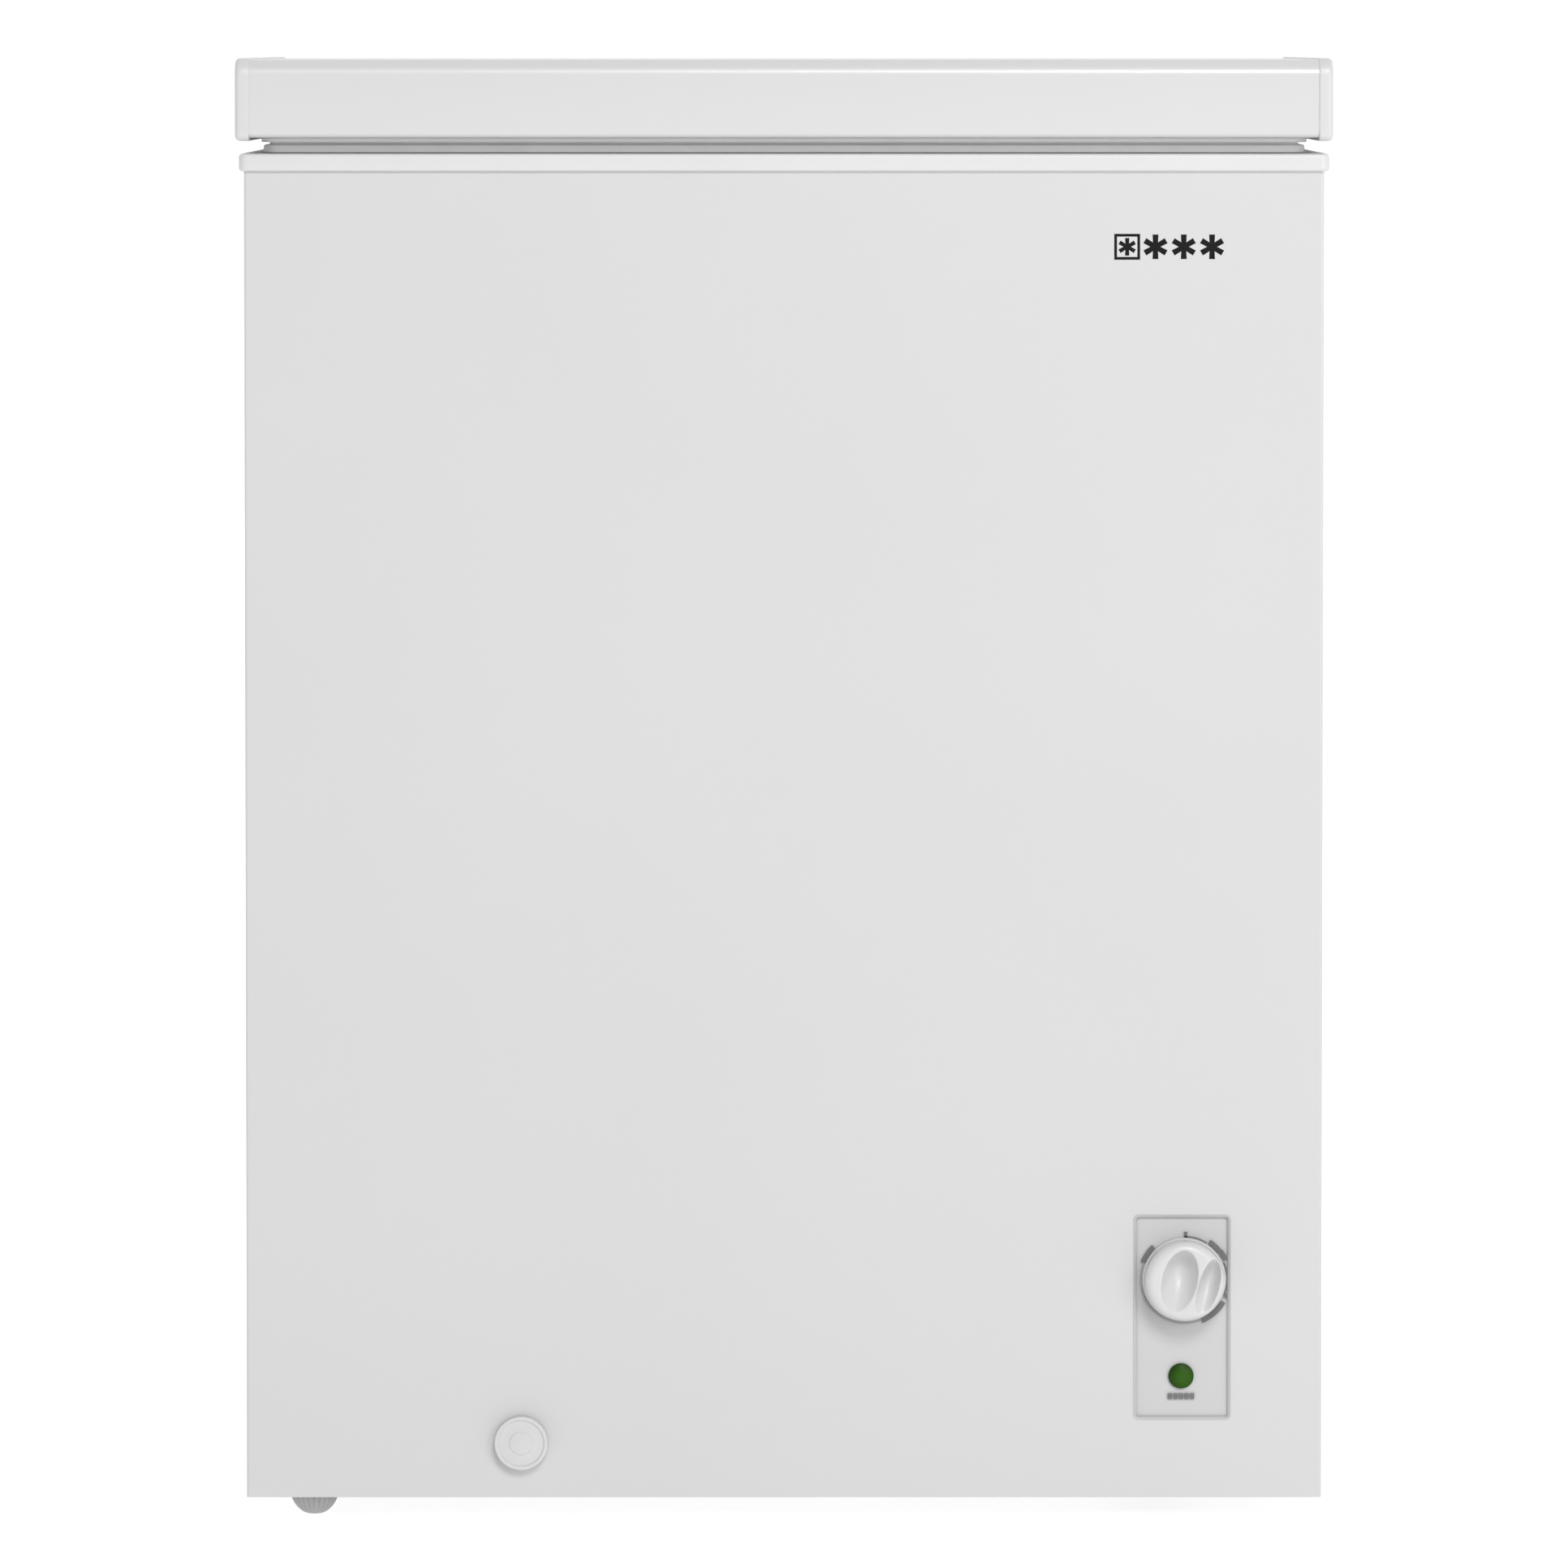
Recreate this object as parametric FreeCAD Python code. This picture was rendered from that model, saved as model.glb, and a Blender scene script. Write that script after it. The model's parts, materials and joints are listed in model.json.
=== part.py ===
import FreeCAD, Part
import math
import os
from FreeCAD import Vector

# A small chest freezer.  X runs to the right, Y to the back, Z up, in millimetres.
# The origin is on the floor, in the middle of the whole machine.

# ---- driving sizes of the cabinet ----
HEIGHT = 850.0
CABINET_WIDTH = 626.0
CABINET_DEPTH = 525.0
FOOT_DROP = 12.5
SHEET = 0.8
LINER_SHEET = 0.6
WALL = 54.0
FLOOR_FOAM = 58.0
BAY_WIDTH = 161.0
BAY_HEIGHT = 237.0
BAY_FOAM = 45.0
LINER_CORNER = 18.0
FLANGE = 15.0
COLLAR_HEIGHT = 10.4
COLLAR_OVERHANG = 3.0
COLLAR_WALL = 2.5
COLLAR_LIP = 16.0

# ---- driving sizes of the lid ----
LID_SKIRT = 46.0
LID_OVERHANG = 5.0
LID_GAP = 9.2
CAP_WIDTH = 8.0
CAP_PROUD = 0.8
CAP_DROP = 2.0
CAP_WALL = 2.5
LID_EDGE_RADIUS = 8.5
LID_LOWER_RADIUS = 2.5
LID_RETURN = 20.0
GASKET_INSET = 14.5
GASKET_WIDTH = 14.0
INNER_PANEL_SHEET = 2.0
INNER_PANEL_RISE = 8.0

# ---- driving sizes of the fittings ----
KNOB_PROUD = 18.0
KNOB_DIAMETER = 49.0
KNOB_OFFSET = 1.2
KNOB_RAISED = 22.2
PANEL_WIDTH = 55.6
PANEL_HEIGHT = 118.8
PANEL_FROM_SIDE = 81.3
PANEL_Z = 117.8
PANEL_RECESS = 2.0
LENS_DIAMETER = 14.8
LENS_OFFSET = -0.5
LENS_DROP = 34.3
DRAIN_FROM_SIDE = 159.9
DRAIN_Z = 44.6
DRAIN_BORE = 14.0
DRAIN_TUBE_WALL = 2.0
DRAIN_CAP_DIAMETER = 31.2
DRAIN_CAP_PROUD = 6.0
FOOT_DIAMETER = 27.0
FOOT_INSET = 38.5
FOOT_SETBACK = 27.5
TRAY_FOOT_SETBACK = 117.5
STEM_RADIUS = 4.0
HINGE_DEPTH = 28.0
HINGE_SPACING = 400.0
HINGE_WIDTH = 40.0
HINGE_BASE_HEIGHT = 143.0
HINGE_PIN_RADIUS = 4.0
HINGE_AXIS_RISE = 11.0
HINGE_AXIS_OUT = 14.0
CAM_REACH = 15.5
CAM_ARM = 6.0
LID_OPENS = 80.0
SPRING_WIRE = 1.5
SPRING_RADIUS = 9.0
SPRING_TURNS = 13
BASKET_WIDTH = 210.0
BASKET_DEPTH = 190.0
RIM_WIRE = 2.5
MESH_WIRE = 1.5
WIRE_PITCH = 25.0
TUBE_EVAPORATOR = 4.0
RISER_FROM_STEP = 46.2
RISER_SPACING = 40.0
TUBE_CONDENSER = 2.4
COMPRESSOR_WIDTH = 132.0
COMPRESSOR_LENGTH = 180.0
COMPRESSOR_HEIGHT = 150.0

# ---- clearances ----
RUNNING = 0.05
MOVING = 0.3
LOOSE = 0.5

# ---- planes worked out from the sizes above ----
FRONT = KNOB_PROUD - (CABINET_DEPTH + KNOB_PROUD + HINGE_DEPTH) / 2
BACK = FRONT + CABINET_DEPTH
SIDE = CABINET_WIDTH / 2
BOTTOM = FOOT_DROP
LID_BOTTOM = HEIGHT - LID_SKIRT
COLLAR_TOP = LID_BOTTOM - LID_GAP
COLLAR_BOTTOM = COLLAR_TOP - COLLAR_HEIGHT
SHELL_TOP = COLLAR_TOP - COLLAR_WALL
INNER_SIDE = SIDE - SHEET
INNER_FRONT = FRONT + SHEET
PANEL_BACK = BACK - SHEET
INNER_BACK = PANEL_BACK - SHEET
PANEL_X = SIDE - PANEL_FROM_SIDE
KNOB_X = PANEL_X + KNOB_OFFSET
KNOB_Z = PANEL_Z + KNOB_RAISED
LENS_X = PANEL_X + LENS_OFFSET
LENS_Z = PANEL_Z - LENS_DROP
DRAIN_X = DRAIN_FROM_SIDE - SIDE
BASE_LOW = BOTTOM + SHEET
BASE_TOP = BASE_LOW + SHEET
TRAY_TOP = BASE_LOW + 2 * SHEET
WELL_SIDE = SIDE - WALL
WELL_FRONT = FRONT + WALL
WELL_BACK = BACK - WALL
WELL_FLOOR = BASE_TOP + FLOOR_FOAM
BAY_LEFT = INNER_SIDE - BAY_WIDTH
BAY_TOP = BASE_LOW + BAY_HEIGHT
STEP_SIDE = BAY_LEFT - BAY_FOAM
STEP_TOP = BAY_TOP + BAY_FOAM
LID_SIDE = SIDE + LID_OVERHANG
LID_FRONT = FRONT - LID_OVERHANG
LID_BACK = BACK
PANEL_TOP = HEIGHT - CAP_PROUD
AXIS_Y = BACK + HINGE_AXIS_OUT
AXIS_Z = LID_BOTTOM + HINGE_AXIS_RISE
HINGES = {"left": -HINGE_SPACING / 2, "right": HINGE_SPACING / 2}
BASE_FRONT = PANEL_BACK
BASE_BACK = BACK + HINGE_DEPTH
HINGE_TOP = COLLAR_BOTTOM - 1.4
HINGE_BOTTOM = HINGE_TOP - HINGE_BASE_HEIGHT
HINGE_SHEET = 2.0
EAR_RADIUS = 9.0
BARREL_RADIUS = HINGE_PIN_RADIUS + RUNNING + 2.95
UP = Vector(0, 0, 1)
BACKWARD = Vector(0, 1, 0)
SIDEWAYS = Vector(1, 0, 0)


# ---- helpers ----
def box(x0, y0, z0, x1, y1, z1):
    return Part.makeBox(x1 - x0, y1 - y0, z1 - z0, Vector(x0, y0, z0))


def edges_along(solid, axis):
    """The straight edges that run along one axis."""
    found = []
    for edge in solid.Edges:
        if isinstance(edge.Curve, Part.Line):
            along = edge.tangentAt(edge.FirstParameter)
            if abs(abs(along.dot(axis)) - 1) < 1e-6:
                found.append(edge)
    return found


def rounded_box(x0, y0, z0, x1, y1, z1, radius, axis=UP):
    solid = box(x0, y0, z0, x1, y1, z1)
    return solid.makeFillet(radius, edges_along(solid, axis))


def rod(start, end, radius):
    along = end - start
    return Part.makeCylinder(radius, along.Length, start, along)


def rod_back(x, z, y0, y1, radius):
    """A rod that runs along Y."""
    return rod(Vector(x, y0, z), Vector(x, y1, z), radius)


def rod_across(x0, x1, y, z, radius):
    """A rod that runs along X."""
    return rod(Vector(x0, y, z), Vector(x1, y, z), radius)


def pipe(start, end, radius, bore):
    return rod(start, end, radius).cut(rod(start, end, bore))


def hexagon(start, height, across_flats):
    """A hexagonal prism that stands on a point, along Z."""
    radius = across_flats / math.sqrt(3)
    corners = []
    for index in range(7):
        angle = math.radians(60 * index)
        corners.append(start + Vector(radius * math.cos(angle), radius * math.sin(angle), 0))
    return Part.Face(Part.makePolygon(corners)).extrude(Vector(0, 0, height))


def frame(x0, y0, x1, y1, z0, z1, width, radius):
    """A flat rectangular ring with rounded corners, of one width all round."""
    outside = rounded_box(x0, y0, z0, x1, y1, z1, radius)
    hole = rounded_box(
        x0 + width, y0 + width, z0 - 1, x1 - width, y1 - width, z1 + 1, max(radius - width, 1.0)
    )
    return outside.cut(hole)


def route(points, bend):
    """A wire of straight runs joined by tangent arcs of one radius."""
    edges = []
    start = points[0]
    for before, corner, after in zip(points, points[1:], points[2:]):
        into = (corner - before).normalize()
        out = (after - corner).normalize()
        half_turn = into.getAngle(out) / 2
        reach = bend * math.tan(half_turn)
        arc_start = corner - into * reach
        arc_end = corner + out * reach
        inward = (out - into).normalize()
        middle = corner + inward * (bend / math.cos(half_turn) - bend)
        if (arc_start - start).Length > 1e-6:
            edges.append(Part.LineSegment(start, arc_start).toShape())
        edges.append(Part.Arc(arc_start, middle, arc_end).toShape())
        start = arc_end
    if (points[-1] - start).Length > 1e-6:
        edges.append(Part.LineSegment(start, points[-1]).toShape())
    return Part.Wire(edges)


def tube(places, bend, radius):
    """A round bar or tube, filled, that follows a route given as (x, y, z) places."""
    points = [Vector(*place) for place in places]
    path = route(points, bend)
    ring = Part.Wire(Part.Circle(points[0], points[1] - points[0], radius).toShape())
    solid = path.makePipeShell([ring], True, False)
    expected = math.pi * radius**2 * path.Length
    if abs(solid.Volume / expected - 1) > 0.01:
        raise ValueError("a tube's volume differs from its section times its length")
    return solid


def wire_loop(x0, y0, x1, y1, z, bend, radius):
    """A closed horizontal loop of wire, from its centre line's corners."""
    middle = (x0 + x1) / 2
    places = [(middle, y0, z), (x1, y0, z), (x1, y1, z), (x0, y1, z), (x0, y0, z), (middle, y0, z)]
    return tube(places, bend, radius)


def save(node, *solids):
    """Write the pieces of one node; pieces that aren't joined stay separate solids."""
    shape = solids[0] if len(solids) == 1 else Part.makeCompound(list(solids))
    shape.exportStep("parts/" + node + ".step")
    print(node, "solids:", len(shape.Solids), "litres:", round(shape.Volume / 1e6, 4))


# ---- cabinet ----
FEET = {
    "front_left": (-SIDE + FOOT_INSET, FRONT + FOOT_SETBACK, BASE_TOP),
    "front_right": (SIDE - FOOT_INSET, FRONT + TRAY_FOOT_SETBACK, TRAY_TOP),
    "rear_left": (-SIDE + FOOT_INSET, BACK - FOOT_SETBACK, BASE_TOP),
    "rear_right": (SIDE - FOOT_INSET, BACK - FOOT_SETBACK, TRAY_TOP),
}
NUT_HEIGHT = 8.0
STEM_LENGTH = 26.0
TUBE_RADIUS = DRAIN_BORE / 2 + DRAIN_TUBE_WALL
DRAIN_Y = WELL_FRONT + 24.0
DRAIN_BEND = 16.0
DRAIN_FLANGE = 1.2
CUTOUT = (BAY_LEFT + 17.0, BOTTOM + 55.5, INNER_SIDE - 25.0, BAY_TOP - 22.0)
GLAND = (BAY_LEFT + 39.0, BOTTOM + 33.5)
GLAND_RADIUS = 7.0
BAY_CENTRE = (BAY_LEFT + INNER_SIDE) / 2
SCREW_SHANK = 2.4
SCREW_LENGTH = 14.0
BASE_SCREW_RISES = (20.0, HINGE_BASE_HEIGHT - 23.0)
BASE_TAB = 14.0


def liner_solid(offset):
    """The well's stepped shape, grown outwards by an offset."""
    front = WELL_FRONT - offset
    back = WELL_BACK + offset
    radius = LINER_CORNER + offset
    upper = rounded_box(
        -WELL_SIDE - offset, front, STEP_TOP - offset, WELL_SIDE + offset, back, SHELL_TOP, radius
    )
    lower = rounded_box(
        -WELL_SIDE - offset, front, WELL_FLOOR - offset, STEP_SIDE + offset, back, SHELL_TOP, radius
    )
    return upper.fuse(lower).removeSplitter()


def foot_stems(clearance):
    stems = []
    for x, y, seat in FEET.values():
        stems.append(rod(Vector(x, y, BOTTOM - 1), Vector(x, y, seat + 1), STEM_RADIUS + clearance))
    return stems


def base_screw_places():
    """Where the hinge bases are screwed to the rear panel, as (x, z)."""
    places = []
    for centre in HINGES.values():
        for side in (-1, 1):
            for rise in BASE_SCREW_RISES:
                places.append((centre + side * (HINGE_WIDTH + BASE_TAB) / 2, HINGE_BOTTOM + rise))
    return places


def base_screw_holes(radius):
    holes = []
    for x, z in base_screw_places():
        holes.append(rod(Vector(x, BACK - SCREW_LENGTH - 3, z), Vector(x, BACK + 5, z), radius))
    return holes


def panel_hole(grow, y0, y1):
    return rounded_box(
        PANEL_X - PANEL_WIDTH / 2 - grow, y0, PANEL_Z - PANEL_HEIGHT / 2 - grow,
        PANEL_X + PANEL_WIDTH / 2 + grow, y1, PANEL_Z + PANEL_HEIGHT / 2 + grow,
        2.5 + grow, BACKWARD,
    )


def make_outer_shell():
    outside = rounded_box(-SIDE, FRONT, BOTTOM, SIDE, BACK, SHELL_TOP, 1.6)
    hollow = rounded_box(-INNER_SIDE, INNER_FRONT, BASE_LOW, INNER_SIDE, PANEL_BACK,
                         SHELL_TOP - SHEET, 1.6 - SHEET)
    shell = outside.cut(hollow)
    reach = SIDE - FLANGE
    shell = shell.cut(box(-reach, BACK - FLANGE, BOTTOM - 1, reach, BACK + 1, SHELL_TOP + 1))
    shell = shell.cut(box(-reach, FRONT + FLANGE, BOTTOM - 1, reach, BACK - FLANGE / 2, SHELL_TOP + 1))
    shell = shell.cut(panel_hole(0, FRONT - 1, FRONT + 2))
    drain = rod(Vector(DRAIN_X, FRONT - 1, DRAIN_Z), Vector(DRAIN_X, FRONT + 2, DRAIN_Z), TUBE_RADIUS + LOOSE)
    return shell.cut(drain)


def make_rear_panel():
    panel = box(-INNER_SIDE + SHEET, INNER_BACK, BASE_TOP, INNER_SIDE - SHEET, PANEL_BACK, SHELL_TOP - 1)
    x0, z0, x1, z1 = CUTOUT
    panel = panel.cut(rounded_box(x0, INNER_BACK - 1, z0, x1, PANEL_BACK + 1, z1, 6, BACKWARD))
    gland_x, gland_z = GLAND
    gland = rod(Vector(gland_x, BACK - 10, gland_z), Vector(gland_x, BACK + 5, gland_z), GLAND_RADIUS)
    cutters = base_screw_holes(SCREW_SHANK) + [gland]
    for x, z in grille_screw_places():
        cutters.append(rod(Vector(x, BACK - 20, z), Vector(x, BACK + 5, z), 1.8))
    return panel.cut(Part.makeCompound(cutters))


def make_base_plate():
    plate = box(-INNER_SIDE, INNER_FRONT, BASE_LOW, BAY_LEFT, INNER_BACK, BASE_TOP)
    return plate.cut(Part.makeCompound(foot_stems(LOOSE)))


def make_compressor_tray():
    tray = box(BAY_LEFT, INNER_FRONT, BASE_LOW, INNER_SIDE, INNER_BACK, TRAY_TOP)
    for y in (INNER_FRONT + 6, INNER_BACK - 6 - 2 * SHEET):
        tray = tray.fuse(box(BAY_LEFT + 8, y, TRAY_TOP, INNER_SIDE - 8, y + 2 * SHEET, TRAY_TOP + 10))
    slots = []
    for index in range(6):
        y = FRONT + 40 + 11 * index
        slots.append(rounded_box(BAY_CENTRE - 40, y, BASE_LOW - 1, BAY_CENTRE + 10, y + 5, TRAY_TOP + 1, 2.4))
    return tray.cut(Part.makeCompound(foot_stems(LOOSE) + slots)).removeSplitter()


BAY_PORTS = 0.4


def make_bay_panel():
    """The sheet that closes the compressor bay off from the foam: a wall and a roof."""
    roof_top = BAY_TOP + SHEET
    wall = box(BAY_LEFT - SHEET, INNER_FRONT, BASE_TOP, BAY_LEFT, INNER_BACK, roof_top)
    roof = box(BAY_LEFT, INNER_FRONT, BAY_TOP, INNER_SIDE, INNER_BACK, roof_top)
    panel = wall.fuse(roof).removeSplitter()
    ports = []
    for z in (EVAPORATOR_IN_Z, EVAPORATOR_OUT_Z):
        ports.append(rod(Vector(BAY_LEFT - 5, COIL_BACK, z), Vector(BAY_LEFT + 5, COIL_BACK, z),
                         TUBE_EVAPORATOR + BAY_PORTS))
    for y in (CONDENSER_IN_Y, CONDENSER_OUT_Y):
        ports.append(rod(Vector(CONDENSER_SIDE, y, BAY_TOP - 5), Vector(CONDENSER_SIDE, y, BAY_TOP + 5),
                         TUBE_CONDENSER + BAY_PORTS))
    ports.append(rod(Vector(BAY_LEFT - 5, SENSOR_Y, SENSOR_Z), Vector(BAY_LEFT + 5, SENSOR_Y, SENSOR_Z),
                     SENSOR_RADIUS + BAY_PORTS))
    return panel.cut(Part.makeCompound(ports))


def make_inner_liner():
    liner = liner_solid(LINER_SHEET).cut(liner_solid(0))
    flange = frame(-WELL_SIDE - FLANGE, WELL_FRONT - FLANGE, WELL_SIDE + FLANGE, WELL_BACK + FLANGE,
                   SHELL_TOP - SHEET, SHELL_TOP, FLANGE - LINER_SHEET / 2, LINER_CORNER + FLANGE)
    hole = rod(Vector(DRAIN_X, DRAIN_Y, WELL_FLOOR - 5), Vector(DRAIN_X, DRAIN_Y, WELL_FLOOR + 5),
               TUBE_RADIUS)
    return liner.fuse(flange).removeSplitter().cut(hole)


# ---- refrigerant coils ----
COIL_GAP = 0.3
COIL_BACK = WELL_BACK + LINER_SHEET + COIL_GAP + TUBE_EVAPORATOR
COIL_FRONT = WELL_FRONT - LINER_SHEET - COIL_GAP - TUBE_EVAPORATOR
COIL_LEFT = -WELL_SIDE - LINER_SHEET - COIL_GAP - TUBE_EVAPORATOR
COIL_RIGHT = -COIL_LEFT
COIL_STEP = STEP_SIDE + LINER_SHEET + COIL_GAP + TUBE_EVAPORATOR
COIL_PITCH = 70.0
COIL_START_Z = WELL_FLOOR + 57.5
COIL_LEVELS = 10
RISER_FAR = STEP_SIDE - RISER_FROM_STEP
RISER_NEAR = RISER_FAR - RISER_SPACING
RETURN_X = (RISER_NEAR + RISER_FAR) / 2
EVAPORATOR_IN_Z = COIL_START_Z - 40.0
EVAPORATOR_OUT_Z = COIL_START_Z + 1.5 * COIL_PITCH
RISER_BEND = 17.0
CONDENSER_SIDE = INNER_SIDE - COIL_GAP - TUBE_CONDENSER
CONDENSER_FRONT = INNER_FRONT + COIL_GAP + TUBE_CONDENSER
CONDENSER_IN_Y = INNER_BACK - 33.9
CONDENSER_OUT_Y = INNER_BACK - 15.9
CONDENSER_START_Z = BAY_TOP + 40.0
CONDENSER_PITCH = 60.0
CONDENSER_LEVELS = 8
CONDENSER_BEND = 15.0
LINE_END_Z = BAY_TOP - 15.0
SENSOR_RADIUS = 1.0
SENSOR_Y = FRONT + 167.5
SENSOR_Z = COIL_START_Z + 30.0
LINE_END_X = BAY_LEFT + 7.0


def coil_right(z):
    """The coil stays outside the liner: the step is narrower than the well above it."""
    return COIL_STEP if z < STEP_TOP + 20 else COIL_RIGHT


def evaporator_places():
    places = [(LINE_END_X, COIL_BACK, EVAPORATOR_IN_Z), (RISER_NEAR, COIL_BACK, EVAPORATOR_IN_Z)]
    for level in range(COIL_LEVELS):
        z = COIL_START_Z + level * COIL_PITCH
        right = coil_right(z)
        loop = [(RISER_NEAR, COIL_BACK, z), (COIL_LEFT, COIL_BACK, z), (COIL_LEFT, COIL_FRONT, z),
                (right, COIL_FRONT, z), (right, COIL_BACK, z), (RISER_FAR, COIL_BACK, z)]
        places += loop if level % 2 == 0 else loop[::-1]
    top = COIL_START_Z + (COIL_LEVELS - 1) * COIL_PITCH
    places[-1] = (RETURN_X, COIL_BACK, top)
    places += [(RETURN_X, COIL_BACK, EVAPORATOR_OUT_Z), (LINE_END_X, COIL_BACK, EVAPORATOR_OUT_Z)]
    return places


def condenser_places():
    places = [(CONDENSER_SIDE, CONDENSER_IN_Y, LINE_END_Z)]
    for level in range(CONDENSER_LEVELS):
        z = CONDENSER_START_Z + level * CONDENSER_PITCH
        turn = [(CONDENSER_SIDE, CONDENSER_IN_Y, z), (CONDENSER_SIDE, CONDENSER_FRONT, z),
                (-CONDENSER_SIDE, CONDENSER_FRONT, z), (-CONDENSER_SIDE, CONDENSER_IN_Y, z)]
        places += turn if level % 2 == 0 else turn[::-1]
    top = CONDENSER_START_Z + (CONDENSER_LEVELS - 1) * CONDENSER_PITCH
    places[-1] = (CONDENSER_SIDE, CONDENSER_OUT_Y, top)
    places.append((CONDENSER_SIDE, CONDENSER_OUT_Y, LINE_END_Z))
    return places


def coil_channels():
    """Square channels in the foam, in which the two coils lie."""
    cuts = []
    deep = LINER_SHEET + 2 * TUBE_EVAPORATOR + 2 * COIL_GAP
    half = TUBE_EVAPORATOR + COIL_GAP
    for level in range(COIL_LEVELS):
        z = COIL_START_Z + level * COIL_PITCH
        right = STEP_SIDE if z < STEP_TOP + 20 else WELL_SIDE
        cuts.append(box(
            -WELL_SIDE - deep, WELL_FRONT - deep, z - half, right + deep, WELL_BACK + deep, z + half
        ))
    for x in (RISER_NEAR, RETURN_X, RISER_FAR):
        cuts.append(box(x - half, WELL_BACK - 10, EVAPORATOR_IN_Z - half, x + half, WELL_BACK + deep,
                        COIL_START_Z + (COIL_LEVELS - 1) * COIL_PITCH + half))
    for z in (EVAPORATOR_IN_Z, EVAPORATOR_OUT_Z):
        cuts.append(box(RISER_NEAR - half, WELL_BACK - 10, z - half, BAY_LEFT, WELL_BACK + deep, z + half))
    levels = [COIL_START_Z + level * COIL_PITCH for level in range(COIL_LEVELS)]
    turn = RISER_BEND + half
    for z in levels + [EVAPORATOR_IN_Z, EVAPORATOR_OUT_Z]:
        cuts.append(box(
            RISER_NEAR - turn, WELL_BACK - 10, z - turn, RISER_FAR + turn, WELL_BACK + deep, z + turn
        ))
    slim = 2 * TUBE_CONDENSER + 2 * COIL_GAP
    half = TUBE_CONDENSER + COIL_GAP
    top = CONDENSER_START_Z + (CONDENSER_LEVELS - 1) * CONDENSER_PITCH + half
    reach = CONDENSER_IN_Y + half
    for level in range(CONDENSER_LEVELS):
        z = CONDENSER_START_Z + level * CONDENSER_PITCH
        inside = INNER_SIDE - slim - CONDENSER_BEND
        cuts.append(box(-INNER_SIDE, INNER_FRONT, z - half, INNER_SIDE, INNER_FRONT + slim, z + half))
        turn_back = INNER_FRONT + slim + CONDENSER_BEND
        cuts.append(box(inside, INNER_FRONT, z - half, INNER_SIDE, turn_back, z + half))
        cuts.append(box(-INNER_SIDE, INNER_FRONT, z - half, -inside, turn_back, z + half))
        cuts.append(box(-INNER_SIDE, INNER_FRONT, z - half, -INNER_SIDE + slim, reach, z + half))
        cuts.append(box(
            INNER_SIDE - slim, INNER_FRONT, z - half, INNER_SIDE, CONDENSER_OUT_Y + half, z + half
        ))
    rear = reach - CONDENSER_BEND - 2 * half
    cuts.append(box(-INNER_SIDE, rear, CONDENSER_START_Z - half, -INNER_SIDE + slim, reach, top))
    cuts.append(box(INNER_SIDE - slim, rear, BAY_TOP, INNER_SIDE, CONDENSER_OUT_Y + half, top))
    return cuts


def drain_places():
    return [(DRAIN_X, DRAIN_Y, WELL_FLOOR), (DRAIN_X, DRAIN_Y, DRAIN_Z), (DRAIN_X, FRONT, DRAIN_Z)]


def make_foam():
    foam = box(-INNER_SIDE, INNER_FRONT, BASE_TOP, INNER_SIDE, INNER_BACK, SHELL_TOP - 1)
    foam = foam.makeFillet(1.6, [edge for edge in edges_along(foam, UP) if edge.CenterOfMass.y < 0])
    foam = foam.cut(box(BAY_LEFT - SHEET, FRONT - 1, BOTTOM, SIDE, BACK, BAY_TOP + SHEET))
    foam = foam.cut(liner_solid(LINER_SHEET))
    cuts = coil_channels()
    for x, y, seat in FEET.values():
        if seat == BASE_TOP:
            cuts.append(rod(Vector(x, y, seat - 1), Vector(x, y, BOTTOM + STEM_LENGTH + 3), 10))
    cuts += base_screw_holes(SCREW_SHANK + 0.1)
    cuts.append(rod(Vector(STEP_SIDE, SENSOR_Y, SENSOR_Z), Vector(BAY_LEFT, SENSOR_Y, SENSOR_Z),
                    SENSOR_RADIUS + BAY_PORTS))
    foam = foam.cut(Part.makeCompound(cuts))
    return foam.cut(tube(drain_places(), DRAIN_BEND, TUBE_RADIUS + 0.1))


def make_collar():
    """A moulded channel that caps the wrapper and the liner, with a lip inside the well."""
    side = SIDE + COLLAR_OVERHANG
    front = FRONT - COLLAR_OVERHANG
    back = BACK + COLLAR_OVERHANG
    collar = rounded_box(-side, front, COLLAR_BOTTOM, side, back, COLLAR_TOP, 5)
    upper = [edge for edge in collar.Edges if abs(edge.BoundBox.ZMin - COLLAR_TOP) < 1e-6]
    collar = collar.makeFillet(2.2, upper)
    channel = rounded_box(-side + COLLAR_WALL, front + COLLAR_WALL, COLLAR_BOTTOM - 1, side - COLLAR_WALL,
                          back - COLLAR_WALL, SHELL_TOP, 5 - COLLAR_WALL)
    collar = collar.cut(channel)
    lip_out = WALL + 0.2
    lip = rounded_box(-SIDE + lip_out, FRONT + lip_out, SHELL_TOP - COLLAR_LIP, SIDE - lip_out,
                      BACK - lip_out, COLLAR_TOP - 0.5, LINER_CORNER - 0.2)
    lip_in = lip_out + COLLAR_WALL
    well = rounded_box(-SIDE + lip_in, FRONT + lip_in, COLLAR_BOTTOM - 20, SIDE - lip_in,
                       BACK - lip_in, COLLAR_TOP + 1, LINER_CORNER - COLLAR_WALL)
    collar = collar.fuse(lip).cut(well).removeSplitter()
    rim = [edge for edge in collar.Edges
           if abs(edge.BoundBox.ZMin - COLLAR_TOP) < 1e-6 and abs(edge.CenterOfMass.x) < WELL_SIDE
           and WELL_FRONT < edge.BoundBox.YMin and edge.BoundBox.YMax < WELL_BACK]
    return collar.makeFillet(1.6, rim)


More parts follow.
